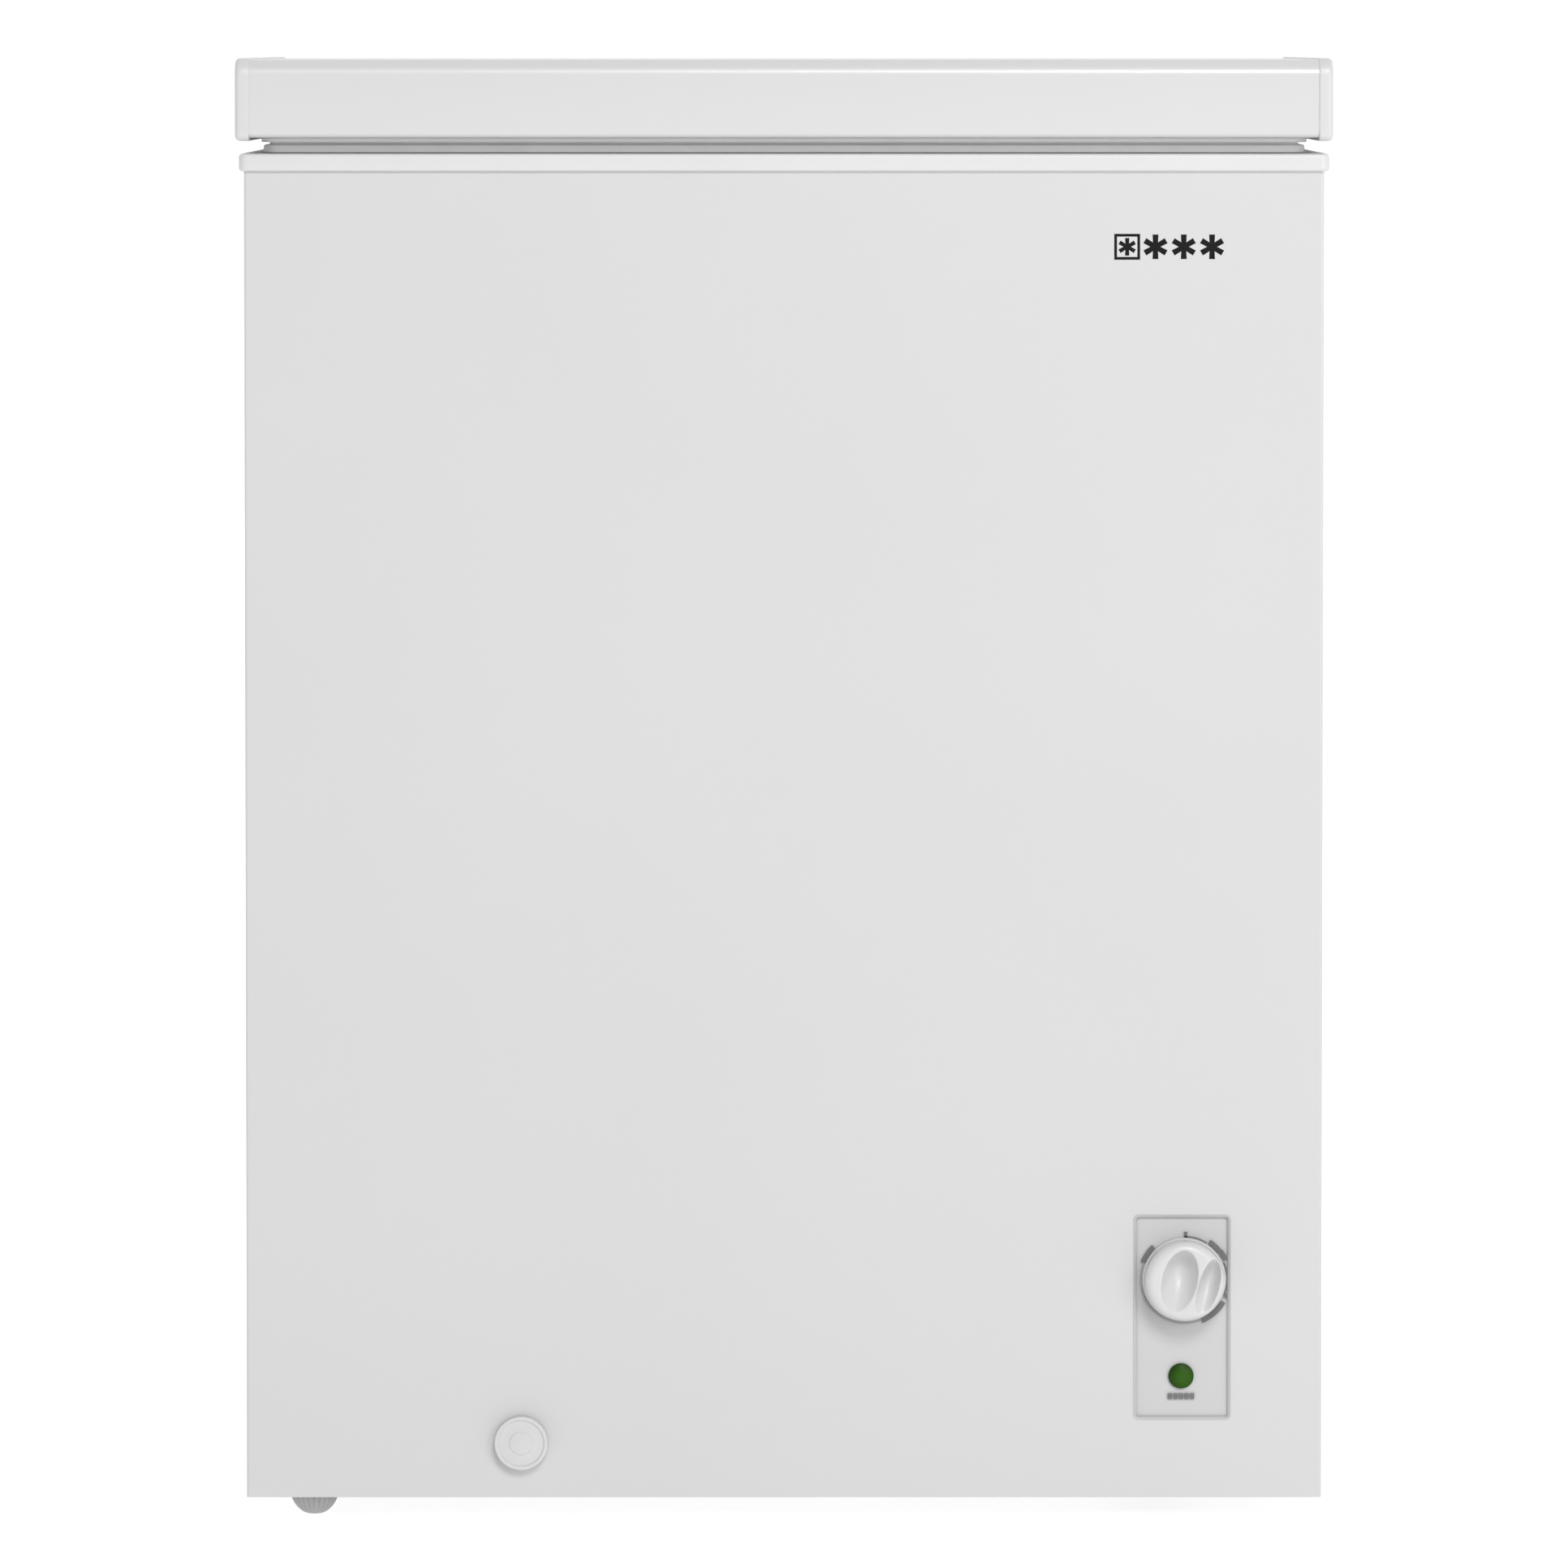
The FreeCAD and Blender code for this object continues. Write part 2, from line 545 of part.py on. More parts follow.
def make_foot(x, y, seat):
    """A domed, ribbed pad on a threaded stem; the thread is left smooth."""
    radius = FOOT_DIAMETER / 2
    top = FOOT_DROP - 1
    flat = Vector(3.5, 0, 0)
    edge = Vector(radius, 0, 6.5)
    outline = [
        Part.LineSegment(Vector(0, 0, 0), flat).toShape(),
        Part.Arc(flat, Vector(9.6, 0, 2.0), edge).toShape(),
        Part.LineSegment(edge, Vector(radius, 0, top)).toShape(),
        Part.LineSegment(Vector(radius, 0, top), Vector(0, 0, top)).toShape(),
        Part.LineSegment(Vector(0, 0, top), Vector(0, 0, 0)).toShape(),
    ]
    pad = Part.Face(Part.Wire(outline)).revolve(Vector(), UP, 360)
    grooves = []
    for index in range(24):
        angle = math.radians(15 * index)
        place = Vector((radius + 0.3) * math.cos(angle), (radius + 0.3) * math.sin(angle), 0)
        grooves.append(rod(place, place + Vector(0, 0, top + 1), 1.1))
    pad = pad.cut(Part.makeCompound(grooves))
    stem = rod(Vector(0, 0, top - 2), Vector(0, 0, BOTTOM + STEM_LENGTH), STEM_RADIUS)
    foot = pad.fuse(stem)
    foot.translate(Vector(x, y, 0))
    return foot


def make_foot_nuts():
    nuts = []
    for x, y, seat in FEET.values():
        nut = hexagon(Vector(x, y, seat), NUT_HEIGHT, 13)
        nuts.append(nut.cut(rod(Vector(x, y, seat - 1), Vector(x, y, seat + 20), STEM_RADIUS + RUNNING)))
    return nuts


# ---- compressor bay ----
COMPRESSOR_Y = BACK - 147.5
GROMMET_HEIGHT = 16.0
COMPRESSOR_PLATE = 2.5
COMPRESSOR_SEAT = TRAY_TOP + GROMMET_HEIGHT + COMPRESSOR_PLATE
COMPRESSOR_REAR = COMPRESSOR_Y + COMPRESSOR_LENGTH / 2
COMPRESSOR_FRONT = COMPRESSOR_Y - COMPRESSOR_LENGTH / 2
SHELL_THICKNESS = 3.0
SHELL_CORNER = 40.0
GROMMETS = [(BAY_CENTRE + sx * 62, COMPRESSOR_Y + sy * 88) for sx in (-1, 1) for sy in (-1, 1)]
LINE_BEND = 9.0


def rounded_can(grow):
    half_width = COMPRESSOR_WIDTH / 2 - grow
    can = rounded_box(
        BAY_CENTRE - half_width, COMPRESSOR_FRONT + grow, COMPRESSOR_SEAT + grow, BAY_CENTRE + half_width,
        COMPRESSOR_REAR - grow, COMPRESSOR_SEAT + COMPRESSOR_HEIGHT - grow, SHELL_CORNER - grow
    )
    ends = [edge for edge in can.Edges if edge.BoundBox.ZLength < 1e-6]
    return can.makeFillet(SHELL_CORNER - 12 - grow, ends)


def make_compressor_shell():
    """A welded can with its seam flange; the pump inside isn't modelled."""
    middle = COMPRESSOR_SEAT + 0.58 * COMPRESSOR_HEIGHT
    half = COMPRESSOR_WIDTH / 2 + 3
    seam = rounded_box(BAY_CENTRE - half, COMPRESSOR_FRONT - 3, middle, BAY_CENTRE + half,
                       COMPRESSOR_REAR + 3, middle + 3, SHELL_CORNER + 3)
    seam = seam.cut(box(BAY_CENTRE - half, COMPRESSOR_FRONT - 4, middle - 1, BAY_CENTRE + half,
                        COMPRESSOR_FRONT, middle + 4))
    return rounded_can(0).fuse(seam).cut(rounded_can(SHELL_THICKNESS))


def make_compressor_base():
    low = TRAY_TOP + GROMMET_HEIGHT
    plate = rounded_box(BAY_CENTRE - 75, COMPRESSOR_Y - 100, low, BAY_CENTRE + 75, COMPRESSOR_Y + 100,
                        COMPRESSOR_SEAT, 12)
    holes = [rod(Vector(x, y, low - 1), Vector(x, y, COMPRESSOR_SEAT + 1), 4) for x, y in GROMMETS]
    return plate.cut(Part.makeCompound(holes))


def make_grommets():
    rubbers = []
    for x, y in GROMMETS:
        top = Vector(x, y, TRAY_TOP + GROMMET_HEIGHT)
        rubber = pipe(Vector(x, y, TRAY_TOP), top, 11, 3.4)
        groove = pipe(Vector(x, y, TRAY_TOP + 6), Vector(x, y, TRAY_TOP + 10), 12, 8.5)
        rubbers.append(rubber.cut(groove))
    return rubbers


def make_compressor_bolts():
    bolts = []
    for x, y in GROMMETS:
        head = hexagon(Vector(x, y, COMPRESSOR_SEAT), 5, 10)
        bolts.append(head.fuse(rod(Vector(x, y, TRAY_TOP), Vector(x, y, COMPRESSOR_SEAT + 2), 3)))
    return bolts


RELAY_Z = COMPRESSOR_SEAT + 46.0


def make_relay_cover():
    back = COMPRESSOR_FRONT
    cover = rounded_box(BAY_CENTRE - 24, back - 38, RELAY_Z, BAY_CENTRE + 24, back, RELAY_Z + 34, 4)
    return cover.cut(box(BAY_CENTRE - 22, back - 36, RELAY_Z + 2, BAY_CENTRE + 22, back + 1, RELAY_Z + 32))


def make_start_relay():
    back = COMPRESSOR_FRONT
    body = rounded_box(BAY_CENTRE - 14, back - 30, RELAY_Z + 6, BAY_CENTRE + 14, back - 6, RELAY_Z + 28, 3)
    pins = [rod_back(BAY_CENTRE + x, RELAY_Z + 17, back - 7, back, 1.5)
            for x in (-8, 0, 8)]
    return body.multiFuse(pins)


DRIER_X = INNER_SIDE - 22.0
DRIER_TOP = BAY_TOP - 40.0
DRIER_BOTTOM = BAY_TOP - 128.0
DRIER_RADIUS = 9.5


def make_filter_drier():
    """A copper cartridge with necked ends, and the pipe that comes down to it."""
    y = CONDENSER_OUT_Y
    body = rod(Vector(DRIER_X, y, DRIER_BOTTOM + 10), Vector(DRIER_X, y, DRIER_TOP - 10), DRIER_RADIUS)
    upper = Part.makeCone(DRIER_RADIUS, 3.5, 10, Vector(DRIER_X, y, DRIER_TOP - 10), UP)
    lower = Part.makeCone(2, DRIER_RADIUS, 10, Vector(DRIER_X, y, DRIER_BOTTOM), UP)
    inlet = tube([(DRIER_X, y, DRIER_TOP), (DRIER_X, y, DRIER_TOP + 14),
                  (CONDENSER_SIDE, y, DRIER_TOP + 14), (CONDENSER_SIDE, y, LINE_END_Z)],
                 LINE_BEND, TUBE_CONDENSER)
    return body.multiFuse([upper, lower, inlet])


CAPILLARY_RADIUS = 1.0
DISCHARGE_Z = COMPRESSOR_SEAT + 66.6
SUCTION_Z = COMPRESSOR_SEAT + 110.0


def bay_tubes():
    """The pipes of the compressor bay, by node: places, bend radius and radius."""
    rear = COMPRESSOR_REAR
    discharge_y = CONDENSER_IN_Y
    low = DRIER_BOTTOM - 20
    suction_y = rear + 30
    return {
        "discharge_line": (
            [(BAY_CENTRE, rear, DISCHARGE_Z), (BAY_CENTRE, discharge_y, DISCHARGE_Z),
             (BAY_CENTRE, discharge_y, DRIER_TOP), (CONDENSER_SIDE, discharge_y, DRIER_TOP),
             (CONDENSER_SIDE, discharge_y, LINE_END_Z)], LINE_BEND, TUBE_CONDENSER),
        "suction_line": (
            [(LINE_END_X, COIL_BACK, EVAPORATOR_OUT_Z), (BAY_CENTRE - 18, COIL_BACK, EVAPORATOR_OUT_Z),
             (BAY_CENTRE - 18, suction_y, EVAPORATOR_OUT_Z - 30), (BAY_CENTRE - 18, suction_y, SUCTION_Z),
             (BAY_CENTRE - 18, rear, SUCTION_Z)], LINE_BEND, TUBE_EVAPORATOR),
        "process_tube": (
            [(BAY_CENTRE + 18, rear, DISCHARGE_Z), (BAY_CENTRE + 18, discharge_y, DISCHARGE_Z),
             (BAY_CENTRE + 18, discharge_y, DISCHARGE_Z + 50)], LINE_BEND, 3.0),
        "capillary_tube": (
            [(DRIER_X, CONDENSER_OUT_Y, DRIER_BOTTOM), (DRIER_X, CONDENSER_OUT_Y, low),
             (LINE_END_X + 15, CONDENSER_OUT_Y, low), (LINE_END_X + 15, COIL_BACK, EVAPORATOR_IN_Z),
             (LINE_END_X, COIL_BACK, EVAPORATOR_IN_Z)], 5.0, CAPILLARY_RADIUS),
    }


# ---- rear grille and cable gland ----
GRILLE_EDGE = 10.0
GRILLE_THICKNESS = 2.5


def grille_box():
    x0, z0, x1, z1 = CUTOUT
    return x0 - GRILLE_EDGE, z0 - GRILLE_EDGE, x1 + GRILLE_EDGE, z1 + GRILLE_EDGE


def grille_screw_places():
    x0, z0, x1, z1 = grille_box()
    return [(x, z) for x in (x0 + 5, x1 - 5) for z in (z0 + 5, z1 - 5)]


def make_rear_grille():
    x0, z0, x1, z1 = grille_box()
    back = PANEL_BACK + GRILLE_THICKNESS
    plate = rounded_box(x0, PANEL_BACK, z0, x1, back, z1, 5, BACKWARD)
    cuts = []
    count = int((z1 - z0 - 30) / 10)
    for index in range(count):
        z = z0 + 18 + 10 * index
        for left, right in ((x0 + 14, (x0 + x1) / 2 - 3), ((x0 + x1) / 2 + 3, x1 - 14)):
            cuts.append(rounded_box(left, PANEL_BACK - 1, z, right, back + 1, z + 5, 2.4, BACKWARD))
    for x, z in grille_screw_places():
        cuts.append(rod(Vector(x, PANEL_BACK - 1, z), Vector(x, back + 1, z), 1.8))
    return plate.cut(Part.makeCompound(cuts))


def pan_screw(x, seat, z, shank_radius, head_radius, head, length, slot_angle):
    """A screw that points forwards, with a domed head and a cross recess."""
    shank = rod(Vector(x, seat - length, z), Vector(x, seat + 0.5, z), shank_radius)
    cap = rod(Vector(x, seat, z), Vector(x, seat + head, z), head_radius)
    cap = cap.makeFillet(head * 0.55, [edge for edge in cap.Edges if edge.BoundBox.YMin > seat + head - 1e-6])
    screw = cap.fuse(shank)
    for turn in (0, 90):
        arm = head_radius * 0.55
        slot = box(x - arm, seat + head * 0.4, z - 0.5, x + arm, seat + head + 1, z + 0.5)
        slot.rotate(Vector(x, seat, z), BACKWARD, slot_angle + turn)
        screw = screw.cut(slot)
    return screw


def make_cable_gland():
    x, z = GLAND
    outer = pipe(Vector(x, PANEL_BACK, z), Vector(x, PANEL_BACK + 4, z), 11, 4.5)
    nose = Part.makeCone(9, 7, 9, Vector(x, PANEL_BACK + 4, z), BACKWARD)
    nose = nose.cut(rod(Vector(x, PANEL_BACK, z), Vector(x, PANEL_BACK + 20, z), 4.5))
    neck = pipe(Vector(x, INNER_BACK - 4, z), Vector(x, PANEL_BACK, z), GLAND_RADIUS, 4.5)
    nut = pipe(Vector(x, INNER_BACK - 4, z), Vector(x, INNER_BACK, z), 10, GLAND_RADIUS)
    return outer.multiFuse([nose, neck, nut])


def make_wiring():
    """Two insulated runs: from the gland to the thermostat, and from the relay to the lamp."""
    x, z = GLAND
    lane = BAY_LEFT + 6.0
    start = INNER_BACK - 4
    terminal = FRONT + 24
    supply = tube([(x, start, z), (x, start - 22, z), (lane, start - 22, z), (lane, terminal, z),
                   (lane, terminal, KNOB_Z), (KNOB_X - THERMOSTAT_WIDTH / 2, terminal, KNOB_Z)], 8, 2.2)
    relay = COMPRESSOR_FRONT - 38
    lamp = tube([(BAY_CENTRE, relay, RELAY_Z + 17), (BAY_CENTRE, relay - 60, RELAY_Z + 17),
                 (LENS_X, LAMP_BACK + 50, LENS_Z), (LENS_X, LAMP_BACK, LENS_Z)], 20, 2.0)
    return supply, lamp


# ---- control panel ----
PLATE_FACE = FRONT + PANEL_RECESS
PLATE_THICKNESS = 2.5
PLATE_BACK = PLATE_FACE + PLATE_THICKNESS
PLATE_RIM = 6.0
THERMOSTAT_WIDTH = 36.0
THERMOSTAT_BACK = PLATE_BACK + 28.0
SHAFT_RADIUS = 3.0
BUSH_RADIUS = 4.8
LAMP_BACK = PLATE_BACK + 22.0
LENS_STEM = 5.8


def make_control_panel():
    plate = panel_hole(PLATE_RIM, INNER_FRONT, PLATE_BACK)
    plate = plate.cut(panel_hole(-LOOSE / 5, INNER_FRONT - 1, PLATE_FACE))
    bush = rod_back(KNOB_X, KNOB_Z, FRONT, PLATE_BACK + 1, BUSH_RADIUS + 0.2)
    lens = rod_back(LENS_X, LENS_Z, FRONT, PLATE_BACK + 1, LENS_STEM + 0.1)
    return plate.cut(bush).cut(lens)


def make_thermostat():
    half = THERMOSTAT_WIDTH / 2
    body = rounded_box(KNOB_X - half, PLATE_BACK, KNOB_Z - 20, KNOB_X + half, THERMOSTAT_BACK, KNOB_Z + 20,
                       3, BACKWARD)
    bush = rod_back(KNOB_X, KNOB_Z, PLATE_FACE + 0.2, PLATE_BACK + 1, BUSH_RADIUS)
    bore = rod_back(KNOB_X, KNOB_Z, FRONT, THERMOSTAT_BACK - 6, SHAFT_RADIUS + RUNNING)
    return body.fuse(bush).cut(bore)


def spheroid(across, along, centre, tilt):
    """A solid of revolution of an ellipse about its long axis, which lies in the XZ plane."""
    ellipse = Part.Ellipse(Vector(), along, across)
    half = ellipse.toShape(0, math.pi)
    base = Part.LineSegment(Vector(-along, 0, 0), Vector(along, 0, 0)).toShape()
    solid = Part.Face(Part.Wire([half, base])).revolve(Vector(), -SIDEWAYS, 360)
    solid.rotate(Vector(), BACKWARD, -90 + tilt)
    solid.translate(centre)
    return solid


RIDGE_TILT = 13.0
SKIRT_DEPTH = 5.0
KNOB_STEP = 0.9
KNOB_TAPER = 0.4
KNOB_EDGE = 4.5
KNOB_WALL = 2.4
HOLLOW_DEPTH = 6.0
BOSS_RADIUS = 6.0
SHAFT_SHORT = 7.0
# Half width, half height and offset of each scoop as shares of the knob's radius, and its lean.
SCOOPS = [(0.449, 0.755, -0.171, 0.0), (0.269, 0.673, 0.596, 4.0)]


def make_knob():
    """A round knob with two scooped finger recesses that leave a grip between them."""
    face = FRONT - KNOB_PROUD
    radius = KNOB_DIAMETER / 2
    low = PLATE_FACE - MOVING
    skirt = Part.makeCone(radius, radius - 0.6, SKIRT_DEPTH, Vector(0, low, 0), -BACKWARD)
    step = low - SKIRT_DEPTH + 1
    cap_radius = radius - KNOB_STEP
    cap = Part.makeCone(cap_radius, cap_radius - KNOB_TAPER, step - face, Vector(0, step, 0), -BACKWARD)
    cap = cap.makeFillet(KNOB_EDGE, [edge for edge in cap.Edges if edge.BoundBox.YMax < face + 1e-3])
    body = skirt.fuse(cap)
    tilt = math.radians(RIDGE_TILT)
    across = Vector(math.cos(tilt), 0, -math.sin(tilt))
    for half_width, half_height, offset, lean in SCOOPS:
        middle = across * (offset * radius) + Vector(0, face, 0)
        body = body.cut(spheroid(half_width * radius, half_height * radius, middle, RIDGE_TILT + lean))
    ceiling = low - HOLLOW_DEPTH
    hollow = rod_back(0, 0, PLATE_FACE, ceiling, radius - KNOB_WALL)
    boss = rod_back(0, 0, low - 0.4, ceiling - 1, BOSS_RADIUS)
    shaft = rod_back(0, 0, ceiling - 0.5, THERMOSTAT_BACK - SHAFT_SHORT, SHAFT_RADIUS)
    knob = body.cut(hollow).multiFuse([boss, shaft])
    knob.translate(Vector(KNOB_X, 0, KNOB_Z))
    return knob


LENS_RISE = 3.4
LENS_WALL = 1.4


def make_lens():
    """A clear domed cap with a hollow stem, pushed into the panel."""
    radius = LENS_DIAMETER / 2
    rise = LENS_RISE
    dome_radius = (radius**2 + rise**2) / (2 * rise)
    top = PLATE_FACE - rise
    ball = Part.makeSphere(dome_radius, Vector(LENS_X, top + dome_radius, LENS_Z))
    dome = ball.common(rod_back(LENS_X, LENS_Z, top - 1, PLATE_FACE, radius))
    stem = rod_back(LENS_X, LENS_Z, PLATE_FACE - 0.2, PLATE_BACK + 6, LENS_STEM)
    hollow = rod_back(LENS_X, LENS_Z, PLATE_FACE + 1, PLATE_BACK + 7, LENS_STEM - LENS_WALL)
    return dome.fuse(stem).cut(hollow)


def make_lamp():
    radius = LENS_STEM - 1.6
    glass = rod_back(LENS_X, LENS_Z, PLATE_FACE + 2, PLATE_BACK + 10, radius - 0.6)
    glass = glass.makeFillet(1.5, [edge for edge in glass.Edges if edge.BoundBox.YMax < PLATE_FACE + 2.1])
    socket = rod_back(LENS_X, LENS_Z, PLATE_BACK + 8, LAMP_BACK, radius + 1)
    return glass.fuse(socket)


# ---- drain ----
def make_drain_tube():
    outside = tube(drain_places(), DRAIN_BEND, TUBE_RADIUS)
    flange = rod(Vector(DRAIN_X, DRAIN_Y, WELL_FLOOR), Vector(DRAIN_X, DRAIN_Y, WELL_FLOOR + DRAIN_FLANGE),
                 TUBE_RADIUS + 5)
    corner = (DRAIN_X, DRAIN_Y, DRAIN_Z)
    bore_places = [(DRAIN_X, DRAIN_Y, WELL_FLOOR + 5), corner, (DRAIN_X, FRONT - 5, DRAIN_Z)]
    inside = tube(bore_places, DRAIN_BEND, DRAIN_BORE / 2)
    return outside.fuse(flange).cut(inside)


def make_drain_cap():
    radius = DRAIN_CAP_DIAMETER / 2
    seat = FRONT - MOVING
    face = FRONT - DRAIN_CAP_PROUD
    cap = Part.makeCylinder(radius, seat - face, Vector(0, seat, 0), -BACKWARD)
    cap = cap.makeFillet(0.9, [edge for edge in cap.Edges if edge.BoundBox.YMax < face + 1e-3])
    dish = Part.makeCone(radius * 0.88, radius * 0.84, 0.8, Vector(0, face - 0.01, 0), BACKWARD)
    boss = Part.makeCone(radius * 0.44, radius * 0.40, 0.6, Vector(0, face + 0.79, 0), -BACKWARD)
    spigot = rod(Vector(0, seat - 1, 0), Vector(0, FRONT + 16, 0), DRAIN_BORE / 2 - RUNNING)
    spigot = spigot.makeChamfer(1, [edge for edge in spigot.Edges if edge.BoundBox.YMin > FRONT + 15.9])
    cap = cap.cut(dish).multiFuse([boss, spigot])
    cap.translate(Vector(DRAIN_X, 0, DRAIN_Z))
    return cap


def make_drain_plug():
    """A stopper with a grip bar, seated in the drain's mouth inside the well."""
    seat = WELL_FLOOR + DRAIN_FLANGE + MOVING
    head = rod(Vector(0, 0, seat), Vector(0, 0, seat + 3), TUBE_RADIUS + 4)
    head = head.makeFillet(1.2, [edge for edge in head.Edges if edge.BoundBox.ZMin > seat + 2.9])
    spigot = rod(Vector(0, 0, seat - 9), Vector(0, 0, seat + 1), DRAIN_BORE / 2 - RUNNING)
    grip = rounded_box(-8, -2, seat + 2, 8, 2, seat + 11, 1.6, BACKWARD)
    plug = head.multiFuse([spigot, grip])
    plug.translate(Vector(DRAIN_X, DRAIN_Y, 0))
    return plug


# ---- lid ----
PANEL_END = LID_SIDE - CAP_WIDTH
PANEL_FRONT = LID_FRONT + CAP_PROUD
PANEL_REAR = LID_BACK - CAP_PROUD
INNER_EDGE = LID_RETURN + 4.0
LID_FOAM_BOTTOM = LID_BOTTOM + INNER_PANEL_SHEET
ARM_PLATE = 2.5
ARM_HALF_WIDTH = 25.0
ARM_RISE = 40.0
ARM_LOW = LID_BOTTOM + 4.0
ARM_SCREWS = (21.0, 34.0)
LID_SCREW_SPREAD = 20.0
LID_SCREW_SHANK = 2.2
LID_SCREW_LENGTH = 12.0


def lid_screw_places():
    places = []
    for centre in HINGES.values():
        for side in (-1, 1):
            for rise in ARM_SCREWS:
                places.append((centre + side * LID_SCREW_SPREAD, ARM_LOW + rise))
    return places


def lid_screw_holes(radius):
    y0 = PANEL_REAR - LID_SCREW_LENGTH - 2
    return [rod(Vector(x, y0, z), Vector(x, LID_BACK + 6, z), radius) for x, z in lid_screw_places()]


def lid_block(inset):
    """The lid's body between its end caps, shrunk by an inset except at its ends."""
    block = box(
        -PANEL_END, PANEL_FRONT + inset, LID_BOTTOM + inset, PANEL_END, PANEL_REAR - inset, PANEL_TOP - inset
    )
    edges = edges_along(block, SIDEWAYS)
    upper = [edge for edge in edges if edge.CenterOfMass.z > LID_BOTTOM + LID_SKIRT / 2]
    block = block.makeFillet(LID_EDGE_RADIUS - inset, upper)
    lower = [edge for edge in edges_along(block, SIDEWAYS) if edge.CenterOfMass.z < LID_BOTTOM + inset + 0.1]
    return block.makeFillet(LID_LOWER_RADIUS - inset, lower)


def make_lid_outer_panel():
    panel = lid_block(0).cut(lid_block(SHEET))
    mouth = box(-PANEL_END - 1, LID_FRONT + LID_RETURN, LID_BOTTOM - 1, PANEL_END + 1, LID_BACK - LID_RETURN,
                LID_BOTTOM + 2)
    return panel.cut(mouth).cut(Part.makeCompound(lid_screw_holes(LID_SCREW_SHANK)))


def make_end_cap(side):
    """A moulded cap that closes one end of the lid, hollow inside, with a ledge below."""
    outer = box(PANEL_END, LID_FRONT, LID_BOTTOM - CAP_DROP, LID_SIDE, LID_BACK, HEIGHT)
    edges = edges_along(outer, SIDEWAYS)
    upper = [edge for edge in edges if edge.CenterOfMass.z > LID_BOTTOM]
    outer = outer.makeFillet(LID_EDGE_RADIUS + CAP_PROUD, upper)
    lower = [edge for edge in edges_along(outer, SIDEWAYS) if edge.CenterOfMass.z < LID_BOTTOM]
    outer = outer.makeFillet(5.0, lower)
    rim = [edge for edge in outer.Edges if edge.BoundBox.XMin > LID_SIDE - 1e-3]
    outer = outer.makeFillet(3.6, rim)
    pocket = rounded_box(PANEL_END - 1, LID_FRONT + 2 * CAP_WALL, LID_BOTTOM + INNER_PANEL_SHEET + 0.5,
                         LID_SIDE - CAP_WALL, LID_BACK - 2 * CAP_WALL, HEIGHT - 2 * CAP_WALL, 4, SIDEWAYS)
    ledge = box(LID_SIDE - LID_RETURN, LID_FRONT + LID_RETURN + LOOSE, LID_BOTTOM, PANEL_END + 1,
                LID_BACK - LID_RETURN - LOOSE, LID_BOTTOM + INNER_PANEL_SHEET)
    cap = outer.cut(pocket).fuse(ledge).removeSplitter()
    return cap if side > 0 else cap.mirror(Vector(), SIDEWAYS)


def dish(z0, z1, edge, radius):
    return rounded_box(-LID_SIDE + edge, LID_FRONT + edge, z0, LID_SIDE - edge, LID_BACK - edge, z1, radius)


def make_lid_inner_panel():
    """A formed sheet: a flat border and a raised field, with the border's edge inside the gasket."""
    border = dish(LID_BOTTOM, LID_FOAM_BOTTOM, INNER_EDGE, 8)
    field = dish(LID_BOTTOM, LID_FOAM_BOTTOM + INNER_PANEL_RISE, INNER_EDGE + 30, 26)
    recess = dish(LID_BOTTOM - 1, LID_BOTTOM + INNER_PANEL_RISE, INNER_EDGE + 30 + INNER_PANEL_SHEET, 24)
    return border.fuse(field).cut(recess).removeSplitter()


def make_lid_foam():
    below = box(-LID_SIDE, LID_FRONT, LID_BOTTOM - 1, LID_SIDE, LID_BACK, LID_FOAM_BOTTOM)
    foam = lid_block(SHEET).cut(below)
    foam = foam.cut(dish(LID_BOTTOM, LID_FOAM_BOTTOM + INNER_PANEL_RISE, INNER_EDGE + 30, 26))
    return foam.cut(Part.makeCompound(lid_screw_holes(LID_SCREW_SHANK + 0.1)))


def make_gasket():
    """A dart, a flat flange, a narrow neck and a soft bulb, from the top down."""
    bulb_low = COLLAR_TOP + MOVING
    layers = (
        (GASKET_INSET + 6.2, 3.0, LID_BOTTOM, LID_FOAM_BOTTOM - 0.2),
        (GASKET_INSET, GASKET_WIDTH + 1.4, LID_BOTTOM - 2.9, LID_BOTTOM),
        (GASKET_INSET + 3.1, GASKET_WIDTH - 6, LID_BOTTOM - 4.7, LID_BOTTOM - 2.9),
        (GASKET_INSET + 1.2, GASKET_WIDTH - 1, bulb_low, LID_BOTTOM - 4.7),
    )
    rings = []
    for inset, width, z0, z1 in layers:
        ring = frame(
            -LID_SIDE + inset, LID_FRONT + inset, LID_SIDE - inset, LID_BACK - inset, z0, z1, width, 10
        )
        if z0 == bulb_low:
            ring = ring.makeFillet(1.3, [edge for edge in ring.Edges if edge.BoundBox.ZLength < 1e-6])
        rings.append(ring)
    return rings[0].multiFuse(rings[1:]).removeSplitter()


# ---- hinges ----
CHANNEL_SLACK = MOVING
PLUNGER_FOOT = 20.0
PLUNGER_HALF = 8.0
EAR_FRONT = AXIS_Y - EAR_RADIUS - LOOSE
PLUNGER_TOP = AXIS_Z - CAM_REACH - MOVING
FOOT_TOP = HINGE_TOP - 18.0
FOOT_LOW = FOOT_TOP - PLUNGER_FOOT
SPRING_LOW = HINGE_BOTTOM + HINGE_SHEET


